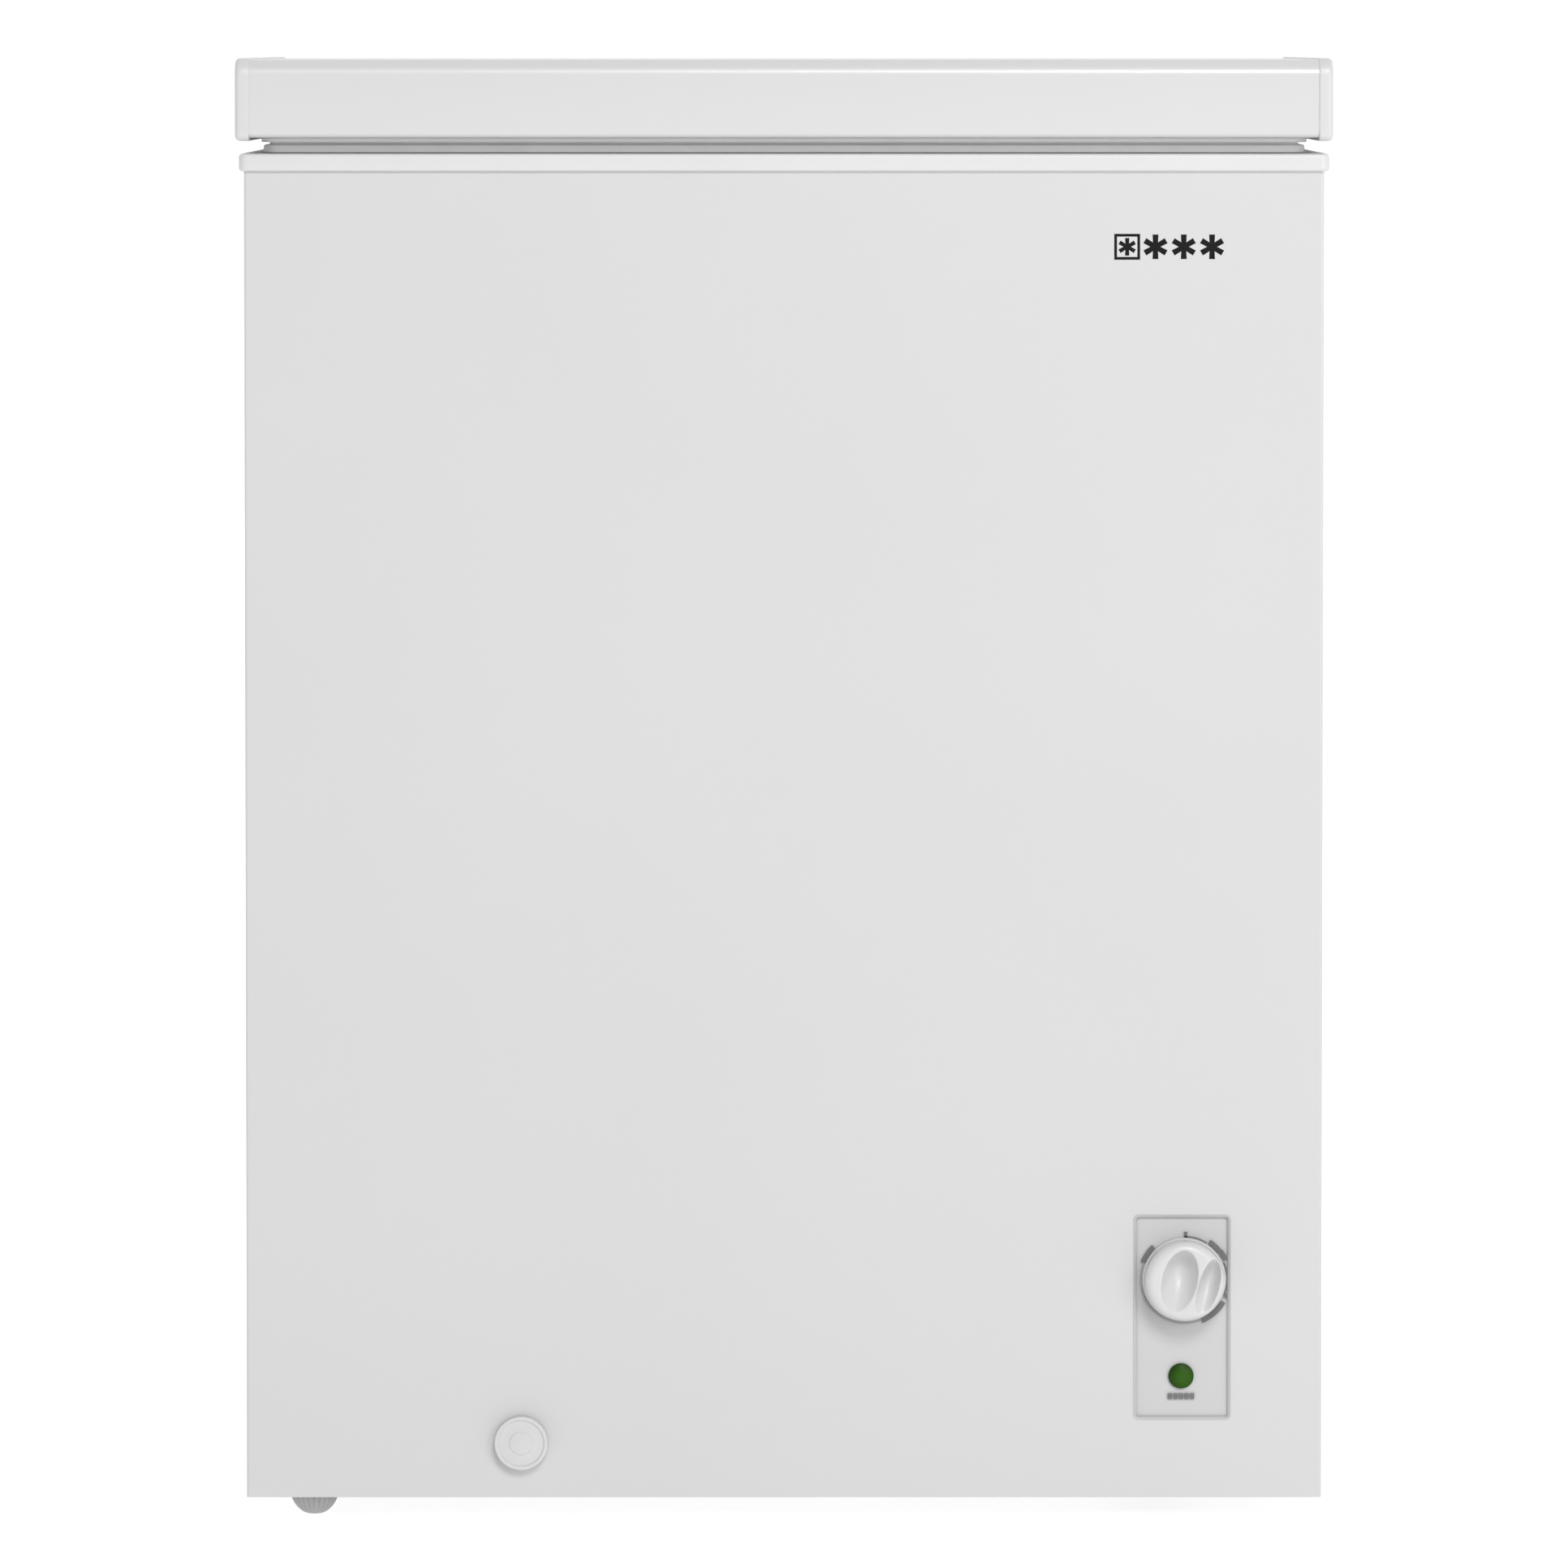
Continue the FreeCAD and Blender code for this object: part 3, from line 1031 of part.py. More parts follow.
def make_hinge_base(centre):
    """A closed channel for the spring, with two ears that hold the pin and two screw tabs."""
    half = HINGE_WIDTH / 2
    channel = box(centre - half, BASE_FRONT, HINGE_BOTTOM, centre + half, BASE_BACK, HINGE_TOP)
    inside = box(
        centre - half + HINGE_SHEET, BASE_FRONT + HINGE_SHEET, SPRING_LOW,
        centre + half - HINGE_SHEET, BASE_BACK - HINGE_SHEET, HINGE_TOP + 1,
    )
    channel = channel.makeFillet(3, [edge for edge in edges_along(channel, UP) if edge.CenterOfMass.y > BACK])
    tabs = box(centre - half - BASE_TAB, BASE_FRONT, HINGE_BOTTOM, centre + half + BASE_TAB,
               BASE_FRONT + HINGE_SHEET, HINGE_TOP)
    base = channel.fuse(tabs).cut(inside)
    for left in (centre - half, centre + half - HINGE_SHEET):
        strip = box(
            left, AXIS_Y - EAR_RADIUS, HINGE_TOP - 20, left + HINGE_SHEET, AXIS_Y + EAR_RADIUS, AXIS_Z
        )
        ring = rod(Vector(left, AXIS_Y, AXIS_Z), Vector(left + HINGE_SHEET, AXIS_Y, AXIS_Z), EAR_RADIUS)
        base = base.fuse(strip).fuse(ring)
    pin = rod_across(centre - half - 5, centre + half + 5, AXIS_Y, AXIS_Z, HINGE_PIN_RADIUS)
    return base.cut(pin).cut(Part.makeCompound(base_screw_holes(SCREW_SHANK))).removeSplitter()


def make_hinge_pin(centre):
    half = HINGE_WIDTH / 2
    body = rod_across(centre - half - 1.5, centre + half, AXIS_Y, AXIS_Z, HINGE_PIN_RADIUS)
    head = rod_across(centre + half, centre + half + 3, AXIS_Y, AXIS_Z, HINGE_PIN_RADIUS + 2)
    return body.fuse(head)


def cam_outline():
    """The cam is an involute of a circle of the cam arm's radius, so that the plunger
    rises in proportion to the lid's angle."""
    curve_points = []
    steps = 10
    for index in range(steps + 1):
        angle = math.radians(-90 + LID_OPENS * index / steps)
        reach = CAM_REACH - CAM_ARM * (angle + math.pi / 2)
        y = reach * math.cos(angle) + CAM_ARM * math.sin(angle)
        z = reach * math.sin(angle) - CAM_ARM * math.cos(angle)
        curve_points.append(Vector(0, AXIS_Y + y, AXIS_Z + z))
    curve = Part.BSplineCurve()
    curve.interpolate(curve_points)
    first = curve_points[0]
    last = curve_points[-1]
    middle = Vector(0, AXIS_Y, AXIS_Z)
    corner = Vector(0, AXIS_Y - CAM_ARM, AXIS_Z)
    edges = [curve.toShape()]
    for start, end in ((last, middle), (middle, corner), (corner, first)):
        edges.append(Part.LineSegment(start, end).toShape())
    return Part.Face(Part.Wire(edges))


def make_hinge_arm(centre):
    """A plate on the lid's back, a neck, a barrel round the pin and the cam that works the plunger."""
    plate = rounded_box(centre - ARM_HALF_WIDTH, PANEL_REAR, ARM_LOW, centre + ARM_HALF_WIDTH,
                        PANEL_REAR + ARM_PLATE, ARM_LOW + ARM_RISE - 6, 4, BACKWARD)
    half = HINGE_WIDTH / 2 - HINGE_SHEET - LOOSE
    neck_top = AXIS_Z + BARREL_RADIUS - 1
    neck = box(centre - half, PANEL_REAR + ARM_PLATE / 2, ARM_LOW, centre + half, AXIS_Y, neck_top)
    neck = neck.makeFillet(3, [edge for edge in edges_along(neck, SIDEWAYS)
                               if edge.CenterOfMass.z > AXIS_Z and edge.CenterOfMass.y > BACK + 5])
    barrel = rod(Vector(centre - half, AXIS_Y, AXIS_Z), Vector(centre + half, AXIS_Y, AXIS_Z), BARREL_RADIUS)
    cam = cam_outline().extrude(Vector(2 * PLUNGER_HALF, 0, 0))
    cam.translate(Vector(centre - PLUNGER_HALF, 0, 0))
    bore = rod(Vector(centre - half - 1, AXIS_Y, AXIS_Z), Vector(centre + half + 1, AXIS_Y, AXIS_Z),
               HINGE_PIN_RADIUS + RUNNING)
    arm = plate.multiFuse([neck, barrel, cam]).cut(bore)
    return arm.cut(Part.makeCompound(lid_screw_holes(LID_SCREW_SHANK))).removeSplitter()


def make_plunger(centre):
    """A foot that slides in the channel, and a push block under the cam."""
    half = HINGE_WIDTH / 2 - HINGE_SHEET - CHANNEL_SLACK
    foot = box(centre - half, BASE_FRONT + HINGE_SHEET + CHANNEL_SLACK, FOOT_LOW, centre + half,
               BASE_BACK - HINGE_SHEET - CHANNEL_SLACK, FOOT_TOP)
    ear_back = AXIS_Y + EAR_RADIUS
    block = box(centre - PLUNGER_HALF, EAR_FRONT, FOOT_TOP - 1, centre + PLUNGER_HALF, ear_back, PLUNGER_TOP)
    return foot.fuse(block).removeSplitter()


def make_spring(centre):
    height = FOOT_LOW - MOVING - SPRING_LOW - 2 * SPRING_WIRE - 0.4
    helix = Part.makeHelix(height / SPRING_TURNS, height, SPRING_RADIUS)
    ring = Part.Wire(Part.Circle(Vector(SPRING_RADIUS, 0, 0), BACKWARD, SPRING_WIRE).toShape())
    spring = Part.Wire(helix).makePipeShell([ring], True, True)
    spring.translate(Vector(centre, (BASE_FRONT + BASE_BACK) / 2, SPRING_LOW + SPRING_WIRE + 0.2))
    return spring


# ---- basket ----
BASKET_GAP = 7.8
BASKET_RIGHT = WELL_SIDE - 0.2 - COLLAR_WALL - BASKET_GAP - RIM_WIRE
BASKET_LEFT = BASKET_RIGHT - BASKET_WIDTH
LIP_FRONT = WELL_FRONT + 0.2 + COLLAR_WALL
LIP_BACK = WELL_BACK - 0.2 - COLLAR_WALL
HANGER_FRONT = LIP_FRONT + 5.0
HANGER_BACK = LIP_BACK - 5.0
RIM_FRONT = HANGER_FRONT + 2 * RIM_WIRE
RIM_BACK = HANGER_BACK - 2 * RIM_WIRE
RIM_Z = COLLAR_TOP - 24.8
HANGER_Z = COLLAR_TOP + MOVING + RIM_WIRE
BASKET_FLOOR = RIM_Z - BASKET_DEPTH
LONG_FRONT = RIM_FRONT + RIM_WIRE + MESH_WIRE
LONG_BACK = RIM_BACK - RIM_WIRE - MESH_WIRE
CROSS_LEFT = BASKET_LEFT + RIM_WIRE + MESH_WIRE
CROSS_RIGHT = BASKET_RIGHT - RIM_WIRE - MESH_WIRE
WIRE_BEND = 14.0
HANGER_OUT = 18.0
HANGER_HALF = 70.0


def spread(low, high, pitch):
    """Evenly spaced places between two ends, about a pitch apart."""
    count = max(2, round((high - low) / pitch) + 1)
    return [low + (high - low) * index / (count - 1) for index in range(count)]


def make_basket_rim():
    rim = wire_loop(BASKET_LEFT, RIM_FRONT, BASKET_RIGHT, RIM_BACK, RIM_Z, WIRE_BEND, RIM_WIRE)
    centre = (BASKET_LEFT + BASKET_RIGHT) / 2
    pieces = [rim]
    for y, out in ((HANGER_FRONT, -HANGER_OUT), (HANGER_BACK, HANGER_OUT)):
        left = centre - HANGER_HALF
        right = centre + HANGER_HALF
        places = [(left, y, RIM_Z - 8), (left, y, HANGER_Z), (left, y + out, HANGER_Z),
                  (right, y + out, HANGER_Z), (right, y, HANGER_Z), (right, y, RIM_Z - 8)]
        pieces.append(tube(places, 6.0, RIM_WIRE))
    return pieces


def make_long_wires():
    """Wires that run down the front, under the floor and up the back."""
    wires = []
    for x in spread(BASKET_LEFT + 18, BASKET_RIGHT - 18, WIRE_PITCH):
        places = [(x, LONG_FRONT, RIM_Z), (x, LONG_FRONT, BASKET_FLOOR), (x, LONG_BACK, BASKET_FLOOR),
                  (x, LONG_BACK, RIM_Z)]
        wires.append(tube(places, WIRE_BEND, MESH_WIRE))
    return wires


def make_cross_wires():
    """Wires that run down one side, over the floor and up the other, with the hoops round them."""
    floor = BASKET_FLOOR + 2 * MESH_WIRE
    wires = []
    for y in spread(LONG_FRONT + 22, LONG_BACK - 22, WIRE_PITCH):
        places = [
            (CROSS_LEFT, y, RIM_Z), (CROSS_LEFT, y, floor), (CROSS_RIGHT, y, floor), (CROSS_RIGHT, y, RIM_Z)
        ]
        wires.append(tube(places, WIRE_BEND, MESH_WIRE))
    inset = 2 * MESH_WIRE
    for z in spread(BASKET_FLOOR + 50, RIM_Z - 45, 48):
        wires.append(wire_loop(CROSS_LEFT + inset, LONG_FRONT + inset, CROSS_RIGHT - inset, LONG_BACK - inset,
                               z, WIRE_BEND, MESH_WIRE))
    return wires


# ---- build and write ----
os.makedirs("parts", exist_ok=True)

save("outer_shell", make_outer_shell())
save("rear_panel", make_rear_panel())
save("base_plate", make_base_plate())
save("bay_panel", make_bay_panel())
save("inner_liner", make_inner_liner())
save("foam_body", make_foam())
save("top_collar", make_collar())
save("evaporator_coil", tube(evaporator_places(), RISER_BEND, TUBE_EVAPORATOR))
save("condenser_coil", tube(condenser_places(), CONDENSER_BEND, TUBE_CONDENSER))
save("foot_nuts", *make_foot_nuts())
for name, place in FEET.items():
    save("foot_" + name, make_foot(*place))

save("compressor_tray", make_compressor_tray())
save("compressor_shell", make_compressor_shell())
save("compressor_base", make_compressor_base())
save("compressor_grommets", *make_grommets())
save("compressor_bolts", *make_compressor_bolts())
save("relay_cover", make_relay_cover())
save("start_relay", make_start_relay())
save("filter_drier", make_filter_drier())
for name, (places, bend, radius) in bay_tubes().items():
    save(name, tube(places, bend, radius))
save("rear_grille", make_rear_grille())
save("grille_screws", *[pan_screw(x, PANEL_BACK + GRILLE_THICKNESS, z, 1.8, 3.6, 2.2, 9, 20 * index)
                        for index, (x, z) in enumerate(grille_screw_places())])
save("cable_gland", make_cable_gland())
save("wiring_harness", *make_wiring())

save("control_panel", make_control_panel())
save("thermostat", make_thermostat())
save("thermostat_capillary", tube([(KNOB_X + 8, THERMOSTAT_BACK, SENSOR_Z), (KNOB_X + 8, SENSOR_Y, SENSOR_Z),
                                   (STEP_SIDE + 2, SENSOR_Y, SENSOR_Z)], 12, SENSOR_RADIUS))
save("knob", make_knob())
save("indicator_lens", make_lens())
save("indicator_lamp", make_lamp())
save("drain_tube", make_drain_tube())
save("drain_cap", make_drain_cap())
save("drain_plug", make_drain_plug())

save("lid_outer_panel", make_lid_outer_panel())
save("lid_end_cap_left", make_end_cap(-1))
save("lid_end_cap_right", make_end_cap(1))
save("lid_inner_panel", make_lid_inner_panel())
save("lid_foam", make_lid_foam())
save("lid_gasket", make_gasket())

for name, centre in HINGES.items():
    save("hinge_base_" + name, make_hinge_base(centre))
    save("hinge_pin_" + name, make_hinge_pin(centre))
    save("hinge_spring_" + name, make_spring(centre))
    save("hinge_plunger_" + name, make_plunger(centre))
    save("hinge_arm_" + name, make_hinge_arm(centre))
base_screws = []
for index, (x, z) in enumerate(base_screw_places()):
    seat = BASE_FRONT + HINGE_SHEET
    base_screws.append(pan_screw(x, seat, z, SCREW_SHANK, 4.5, 2.8, SCREW_LENGTH, 25 * index))
save("hinge_base_screws", *base_screws)
lid_screws = []
for index, (x, z) in enumerate(lid_screw_places()):
    seat = PANEL_REAR + ARM_PLATE
    lid_screws.append(pan_screw(x, seat, z, LID_SCREW_SHANK, 4.2, 2.6, LID_SCREW_LENGTH, 35 * index))
save("hinge_lid_screws", *lid_screws)

save("basket_rim", *make_basket_rim())
save("basket_long_wires", *make_long_wires())
save("basket_cross_wires", *make_cross_wires())
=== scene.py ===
# %% [markdown]
# # A small chest freezer, finished in Blender
#
# The machine itself is already designed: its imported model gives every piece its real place
# and size. This notebook gives the pieces their finish, and rebuilds the ones that the eye
# rests on with smoother, finer meshes. Nothing is moved or resized, so each size below comes
# from the box of the piece that it dresses.

# %% Load the frame
import json
import math

import bmesh
import bpy
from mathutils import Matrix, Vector


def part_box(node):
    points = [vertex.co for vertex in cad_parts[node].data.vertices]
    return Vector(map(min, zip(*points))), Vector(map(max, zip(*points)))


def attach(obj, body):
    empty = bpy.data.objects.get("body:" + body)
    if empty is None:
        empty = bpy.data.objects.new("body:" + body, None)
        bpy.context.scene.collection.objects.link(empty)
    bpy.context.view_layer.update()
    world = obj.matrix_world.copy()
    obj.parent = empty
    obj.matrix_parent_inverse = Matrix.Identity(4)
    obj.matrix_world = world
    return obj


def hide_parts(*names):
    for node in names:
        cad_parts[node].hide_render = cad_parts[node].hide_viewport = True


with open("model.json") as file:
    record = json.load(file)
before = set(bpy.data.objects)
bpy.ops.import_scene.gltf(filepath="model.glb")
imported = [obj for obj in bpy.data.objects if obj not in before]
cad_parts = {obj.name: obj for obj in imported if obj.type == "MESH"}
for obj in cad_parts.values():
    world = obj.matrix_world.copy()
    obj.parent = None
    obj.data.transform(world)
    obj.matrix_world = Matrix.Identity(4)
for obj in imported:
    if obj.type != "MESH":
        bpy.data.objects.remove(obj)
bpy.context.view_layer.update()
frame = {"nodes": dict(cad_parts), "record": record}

MM = 0.001

# %% [markdown]
# ## Shader maths
#
# A shader is a chain of nodes. Written by hand, each sum needs a node, two links and a
# number typed in a socket. A small class that wraps a socket lets the same sum be written as
# `0.3 + grain * 0.1`: Python's operators add the Math nodes. The reflected forms, such as
# `__rsub__`, let a plain number stand on the left, as in `1 - mask`.

# %% A socket that does arithmetic
class Signal:
    """One output of a node. Sums with numbers or other signals add Math nodes."""

    def __init__(self, finish, socket):
        self.finish = finish
        self.socket = socket

    def combine(self, operation, *terms):
        inputs = dict(enumerate(terms))
        return self.finish.node("ShaderNodeMath", {"operation": operation}, inputs).out("Value")

    def __add__(self, other):
        return self.combine("ADD", self, other)

    def __radd__(self, other):
        return self.combine("ADD", other, self)

    def __sub__(self, other):
        return self.combine("SUBTRACT", self, other)

    def __rsub__(self, other):
        return self.combine("SUBTRACT", other, self)

    def __mul__(self, other):
        return self.combine("MULTIPLY", self, other)

    def __rmul__(self, other):
        return self.combine("MULTIPLY", other, self)

    def __truediv__(self, other):
        return self.combine("DIVIDE", self, other)

    def power(self, exponent):
        return self.combine("POWER", self, exponent)

    def clipped(self):
        return self.combine("MINIMUM", self.combine("MAXIMUM", self, 0.0), 1.0)


print("shader sums: + - * / power clipped")

# %% [markdown]
# ## One way to add a node
#
# Every other node comes from one method. It takes the node's type, its settings and the
# values or links of its sockets, in that order, because some settings change which sockets
# a node has. A finish starts with a Principled shader and with coordinates in metres, so
# that grain has its real scale on every piece.

# %% Nodes and finishes
class NodeBox:
    """A node of a finish, whose outputs are taken by name."""

    def __init__(self, finish, node):
        self.finish = finish
        self.node = node

    def out(self, name):
        return Signal(self.finish, self.node.outputs[name])


class Graph:
    """A node tree, and the one way to add a node to it."""

    def __init__(self, tree):
        self.tree = tree
        self.tree.nodes.clear()

    def node(self, kind, settings=None, inputs=None):
        made = self.tree.nodes.new(kind)
        for key, value in (settings or {}).items():
            if key == "stops":
                self.set_stops(made.color_ramp, value)
            else:
                setattr(made, key, value)
        for key, value in (inputs or {}).items():
            self.feed(made.inputs[key], value)
        return NodeBox(self, made)

    def set_stops(self, ramp, stops):
        while len(ramp.elements) < len(stops):
            ramp.elements.new(1.0)
        for element, (position, level) in zip(ramp.elements, stops):
            element.position = position
            element.color = (level, level, level, 1.0)

    def feed(self, socket, value):
        if isinstance(value, Signal):
            self.tree.links.new(value.socket, socket)
        else:
            socket.default_value = value


class Finish(Graph):
    """A material: a Principled shader and the nodes that vary it."""

    def __init__(self, name, **constants):
        self.material = bpy.data.materials.new(name)
        self.material.use_nodes = True
        super().__init__(self.material.node_tree)
        self.shader = self.node("ShaderNodeBsdfPrincipled", {},
                                {socket.replace("_", " "): value for socket, value in constants.items()})
        self.node("ShaderNodeOutputMaterial", {}, {"Surface": self.shader.out("BSDF")})
        self.place = self.node("ShaderNodeTexCoord").out("Object")

    def noise(self, size_mm, detail=2.0, stretch=None):
        """Cloudy variation from 0 to 1, with features of about a size in millimetres."""
        place = self.place
        if stretch:
            place = self.node("ShaderNodeVectorMath", {"operation": "MULTIPLY"},
                              {0: place, 1: stretch}).out("Vector")
        return self.node("ShaderNodeTexNoise", {},
                         {"Vector": place, "Scale": 1.0 / (size_mm * MM), "Detail": detail}).out("Fac")

    def cells(self, size_mm, feature="F1"):
        return self.node("ShaderNodeTexVoronoi", {"feature": feature},
                         {"Vector": self.place, "Scale": 1.0 / (size_mm * MM)})

    def ramp(self, factor, *stops):
        return self.node("ShaderNodeValToRGB", {"stops": stops}, {"Fac": factor}).out("Color")

    def mix(self, factor, low, high):
        """A colour between two colours."""
        picked = self.node("ShaderNodeMix", {"data_type": "RGBA"}, {0: factor, 6: low, 7: high})
        return Signal(self, picked.node.outputs[2])

    def bump(self, height, depth_mm, strength=1.0, under=None):
        inputs = {"Height": height, "Distance": depth_mm * MM, "Strength": strength}
        if under:
            inputs["Normal"] = under
        return self.node("ShaderNodeBump", {}, inputs).out("Normal")

    def drive(self, **sockets):
        for socket, value in sockets.items():
            self.feed(self.shader.node.inputs[socket.replace("_", " ")], value)
        return self.material


def grey(level, warmth=0.0):
    """A near-neutral colour; warmth above 0 leans to yellow, below 0 to blue."""
    return (level * (1 + warmth), level, level * (1 - warmth), 1.0)


print("a finish has noise, cells, ramp, mix, bump and drive")

# %% [markdown]
# ## Painted steel
#
# The cabinet and the lid are rolled steel, sprayed and baked. Baked enamel is never a mirror:
# it dries with a faint ripple about a millimetre or two across, called orange peel, and a
# sheet backed by foam waves a little over a hand's width. Both are bump, because they are
# far too shallow to model. The colour drifts by two parts in a hundred, which keeps a large
# plain wall from looking like a flat fill, and handling leaves duller patches in the gloss.

# %% White enamel
def make_enamel(name, level):
    finish = Finish(name, Coat_Weight=0.25, Coat_Roughness=0.12, Specular_IOR_Level=0.45)
    drift = finish.noise(240, 3)
    haze = finish.noise(38, 4)
    color = finish.mix(drift, grey(level * 0.975, -0.004), grey(level * 1.02, 0.004))
    peel = finish.bump(finish.noise(2.4, 1.5), 0.035, 0.30)
    sheet = finish.bump(finish.noise(150, 1.0), 0.5, 0.10, peel)
    return finish.drive(Base_Color=color, Roughness=0.27 + haze * 0.12, Normal=sheet)


enamel = make_enamel("cabinet_enamel", 0.535)
lid_enamel = make_enamel("lid_enamel", 0.54)
print("made", enamel.name, lid_enamel.name)

# %% [markdown]
# ## Moulded plastics
#
# The frame round the well, the lid's end caps, the knob and the drain cap are injection
# moulded. The mould is lightly eroded, which leaves a fine, even grain that softens the
# highlights. A short function makes each plastic from its tone, because the white, the grey
# and the black parts differ only in tone, gloss and the size of that grain.

# %% Plastics
def make_plastic(name, level, rough, grain_mm=0.7, depth_mm=0.02, warmth=0.0, spread=0.03):
    finish = Finish(name, Specular_IOR_Level=0.45)
    cloud = finish.noise(60, 3)
    speck = finish.noise(1.6, 2)
    tone = cloud * 0.7 + speck * 0.3
    color = finish.mix(tone, grey(level * (1 - spread), warmth), grey(level * (1 + spread), warmth))
    grain = finish.bump(finish.noise(grain_mm, 2), depth_mm, 0.6)
    return finish.drive(Base_Color=color, Roughness=rough + cloud * 0.10, Normal=grain)


cap_plastic = make_plastic("lid_cap_plastic", 0.545, 0.30, 0.7, 0.008)
collar_plastic = make_plastic("top_frame_plastic", 0.575, 0.34, 0.7, 0.006)
knob_plastic = make_plastic("knob_plastic", 0.56, 0.26, 0.5, 0.01)
panel_plastic = make_plastic("control_panel_plastic", 0.49, 0.42, 0.45, 0.03)
# The bead is a darker grey than the panel: painted shade for the shadowed groove round the panel.
bead_painted_shade_plastic = make_plastic("panel_bezel_painted_shade", 0.43, 0.42, 0.45, 0.01)
inner_plastic = make_plastic("lid_inner_plastic", 0.60, 0.36, 1.2, 0.03)
foot_plastic = make_plastic("foot_plastic", 0.36, 0.5, 0.6, 0.03)
black_plastic = make_plastic("black_plastic", 0.022, 0.45, 0.6, 0.03, spread=0.25)
drain_plastic = make_plastic("drain_tube_plastic", 0.62, 0.4, 0.8, 0.02, 0.02)
insulation = make_plastic("wire_insulation", 0.5, 0.5, 1.0, 0.02)
print("plastics:", 10)

# %% [markdown]
# ## The seal
#
# The lid's seal is extruded soft vinyl. It is greyer and duller than the hard plastics, with
# fine lines drawn along it by the die and a little dust in its groove. Stretching the noise
# in two directions out of three gives those drawn lines.

# %% Seal vinyl
def make_vinyl():
    finish = Finish("seal_vinyl", Specular_IOR_Level=0.35, Sheen_Weight=0.05)
    dust = finish.noise(25, 4)
    color = finish.mix(dust, grey(0.63), grey(0.70))
    drawn = finish.noise(1.0, 1, (0.02, 0.02, 1.0))
    return finish.drive(Base_Color=color, Roughness=0.5 + dust * 0.14, Normal=finish.bump(drawn, 0.05, 0.4))


seal_vinyl = make_vinyl()
print("made", seal_vinyl.name)

# %% [markdown]
# ## Bare and plated metals
#
# Zinc-dipped steel has a spangle: crystals about a centimetre across, each of which reflects
# a little differently. A Voronoi texture gives one random tone to each crystal. The well is
# lined with aluminium sheet that is rolled with a pebbled pattern, called stucco, so that
# scratches don't show. The same texture, used as bump, gives its pebbles.

# %% Zinc and aluminium
def make_zinc():
    finish = Finish("zinc_plate", Metallic=0.85)
    spangle = finish.cells(9).out("Color")
    tone = finish.node("ShaderNodeRGBToBW", {}, {"Color": spangle}).out("Val")
    color = finish.mix(tone, grey(0.36, -0.01), grey(0.47, -0.005))
    stain = finish.noise(90, 4)
    return finish.drive(Base_Color=color, Roughness=0.34 + tone * 0.14 + stain * 0.08,
                        Normal=finish.bump(finish.noise(1.5, 2), 0.02, 0.4))


def make_stucco():
    finish = Finish("stucco_aluminium", Metallic=0.35)
    pebble = finish.cells(4.5, "SMOOTH_F1").out("Distance")
    haze = finish.noise(70, 3)
    color = finish.mix(haze, grey(0.74, -0.01), grey(0.80, -0.01))
    ridge = finish.ramp(pebble, (0.15, 1.0), (0.75, 0.0))
    return finish.drive(Base_Color=color, Roughness=0.32 + haze * 0.12, Normal=finish.bump(ridge, 0.35, 0.5))


def make_turned_steel(name, level, rough):
    finish = Finish(name, Metallic=0.95)
    wear = finish.noise(5, 3)
    color = finish.mix(wear, grey(level * 0.85), grey(level))
    return finish.drive(Base_Color=color, Roughness=rough + wear * 0.15,
                        Normal=finish.bump(finish.noise(0.4, 1, (1, 1, 0.1)), 0.01, 0.4))


zinc = make_zinc()
stucco = make_stucco()
screw_steel = make_turned_steel("screw_steel", 0.55, 0.25)
spring_steel = make_turned_steel("spring_steel", 0.16, 0.3)
print("made", zinc.name, stucco.name, screw_steel.name, spring_steel.name)

# %% [markdown]
# ## Compressor bay finishes
#
# The compressor is dipped in black enamel, which pools a little as it dries. Its pipes are
# drawn copper: bright where they were handled last, brown where they have tarnished. A noise
# pushed through a ramp gives the tarnish its patches, and the same mask makes the tarnished
# places duller.

# %% Black enamel, copper, rubber, coated wire
def make_black_enamel():
    finish = Finish("black_enamel", Coat_Weight=0.3, Coat_Roughness=0.2)
    pool = finish.noise(30, 3)
    color = finish.mix(pool, grey(0.012), grey(0.024))
    return finish.drive(Base_Color=color, Roughness=0.28 + pool * 0.2,
                        Normal=finish.bump(finish.noise(6, 2), 0.08, 0.4))


def make_copper():
    finish = Finish("drawn_copper", Metallic=0.95)
    tarnish = finish.ramp(finish.noise(22, 5), (0.42, 0.0), (0.66, 1.0))
    color = finish.mix(tarnish, (0.78, 0.36, 0.20, 1.0), (0.30, 0.12, 0.06, 1.0))
    rough = finish.node("ShaderNodeRGBToBW", {}, {"Color": tarnish}).out("Val")
    return finish.drive(Base_Color=color, Roughness=0.22 + rough * 0.25,
                        Normal=finish.bump(finish.noise(0.8, 1), 0.01, 0.3))


def make_rubber():
    finish = Finish("rubber", Specular_IOR_Level=0.3)
    bloom = finish.noise(8, 4)
    color = finish.mix(bloom, grey(0.02), grey(0.045))
    return finish.drive(Base_Color=color, Roughness=0.7 + bloom * 0.15,
                        Normal=finish.bump(finish.noise(0.9, 3), 0.04, 0.5))


def make_wire_coat():
    finish = Finish("coated_wire", Coat_Weight=0.2, Coat_Roughness=0.15)
    drip = finish.noise(14, 3)
    color = finish.mix(drip, grey(0.60), grey(0.68))
    return finish.drive(Base_Color=color, Roughness=0.28 + drip * 0.12,
                        Normal=finish.bump(finish.noise(5, 2), 0.12, 0.5))


def make_foam():
    finish = Finish("rigid_foam")
    cells = finish.cells(1.4).out("Distance")
    cloud = finish.noise(20, 3)
    color = finish.mix(cloud, (0.62, 0.52, 0.30, 1.0), (0.74, 0.66, 0.42, 1.0))
    return finish.drive(Base_Color=color, Roughness=0.8 + cloud * 0.1, Normal=finish.bump(cells, 0.4, 0.7))


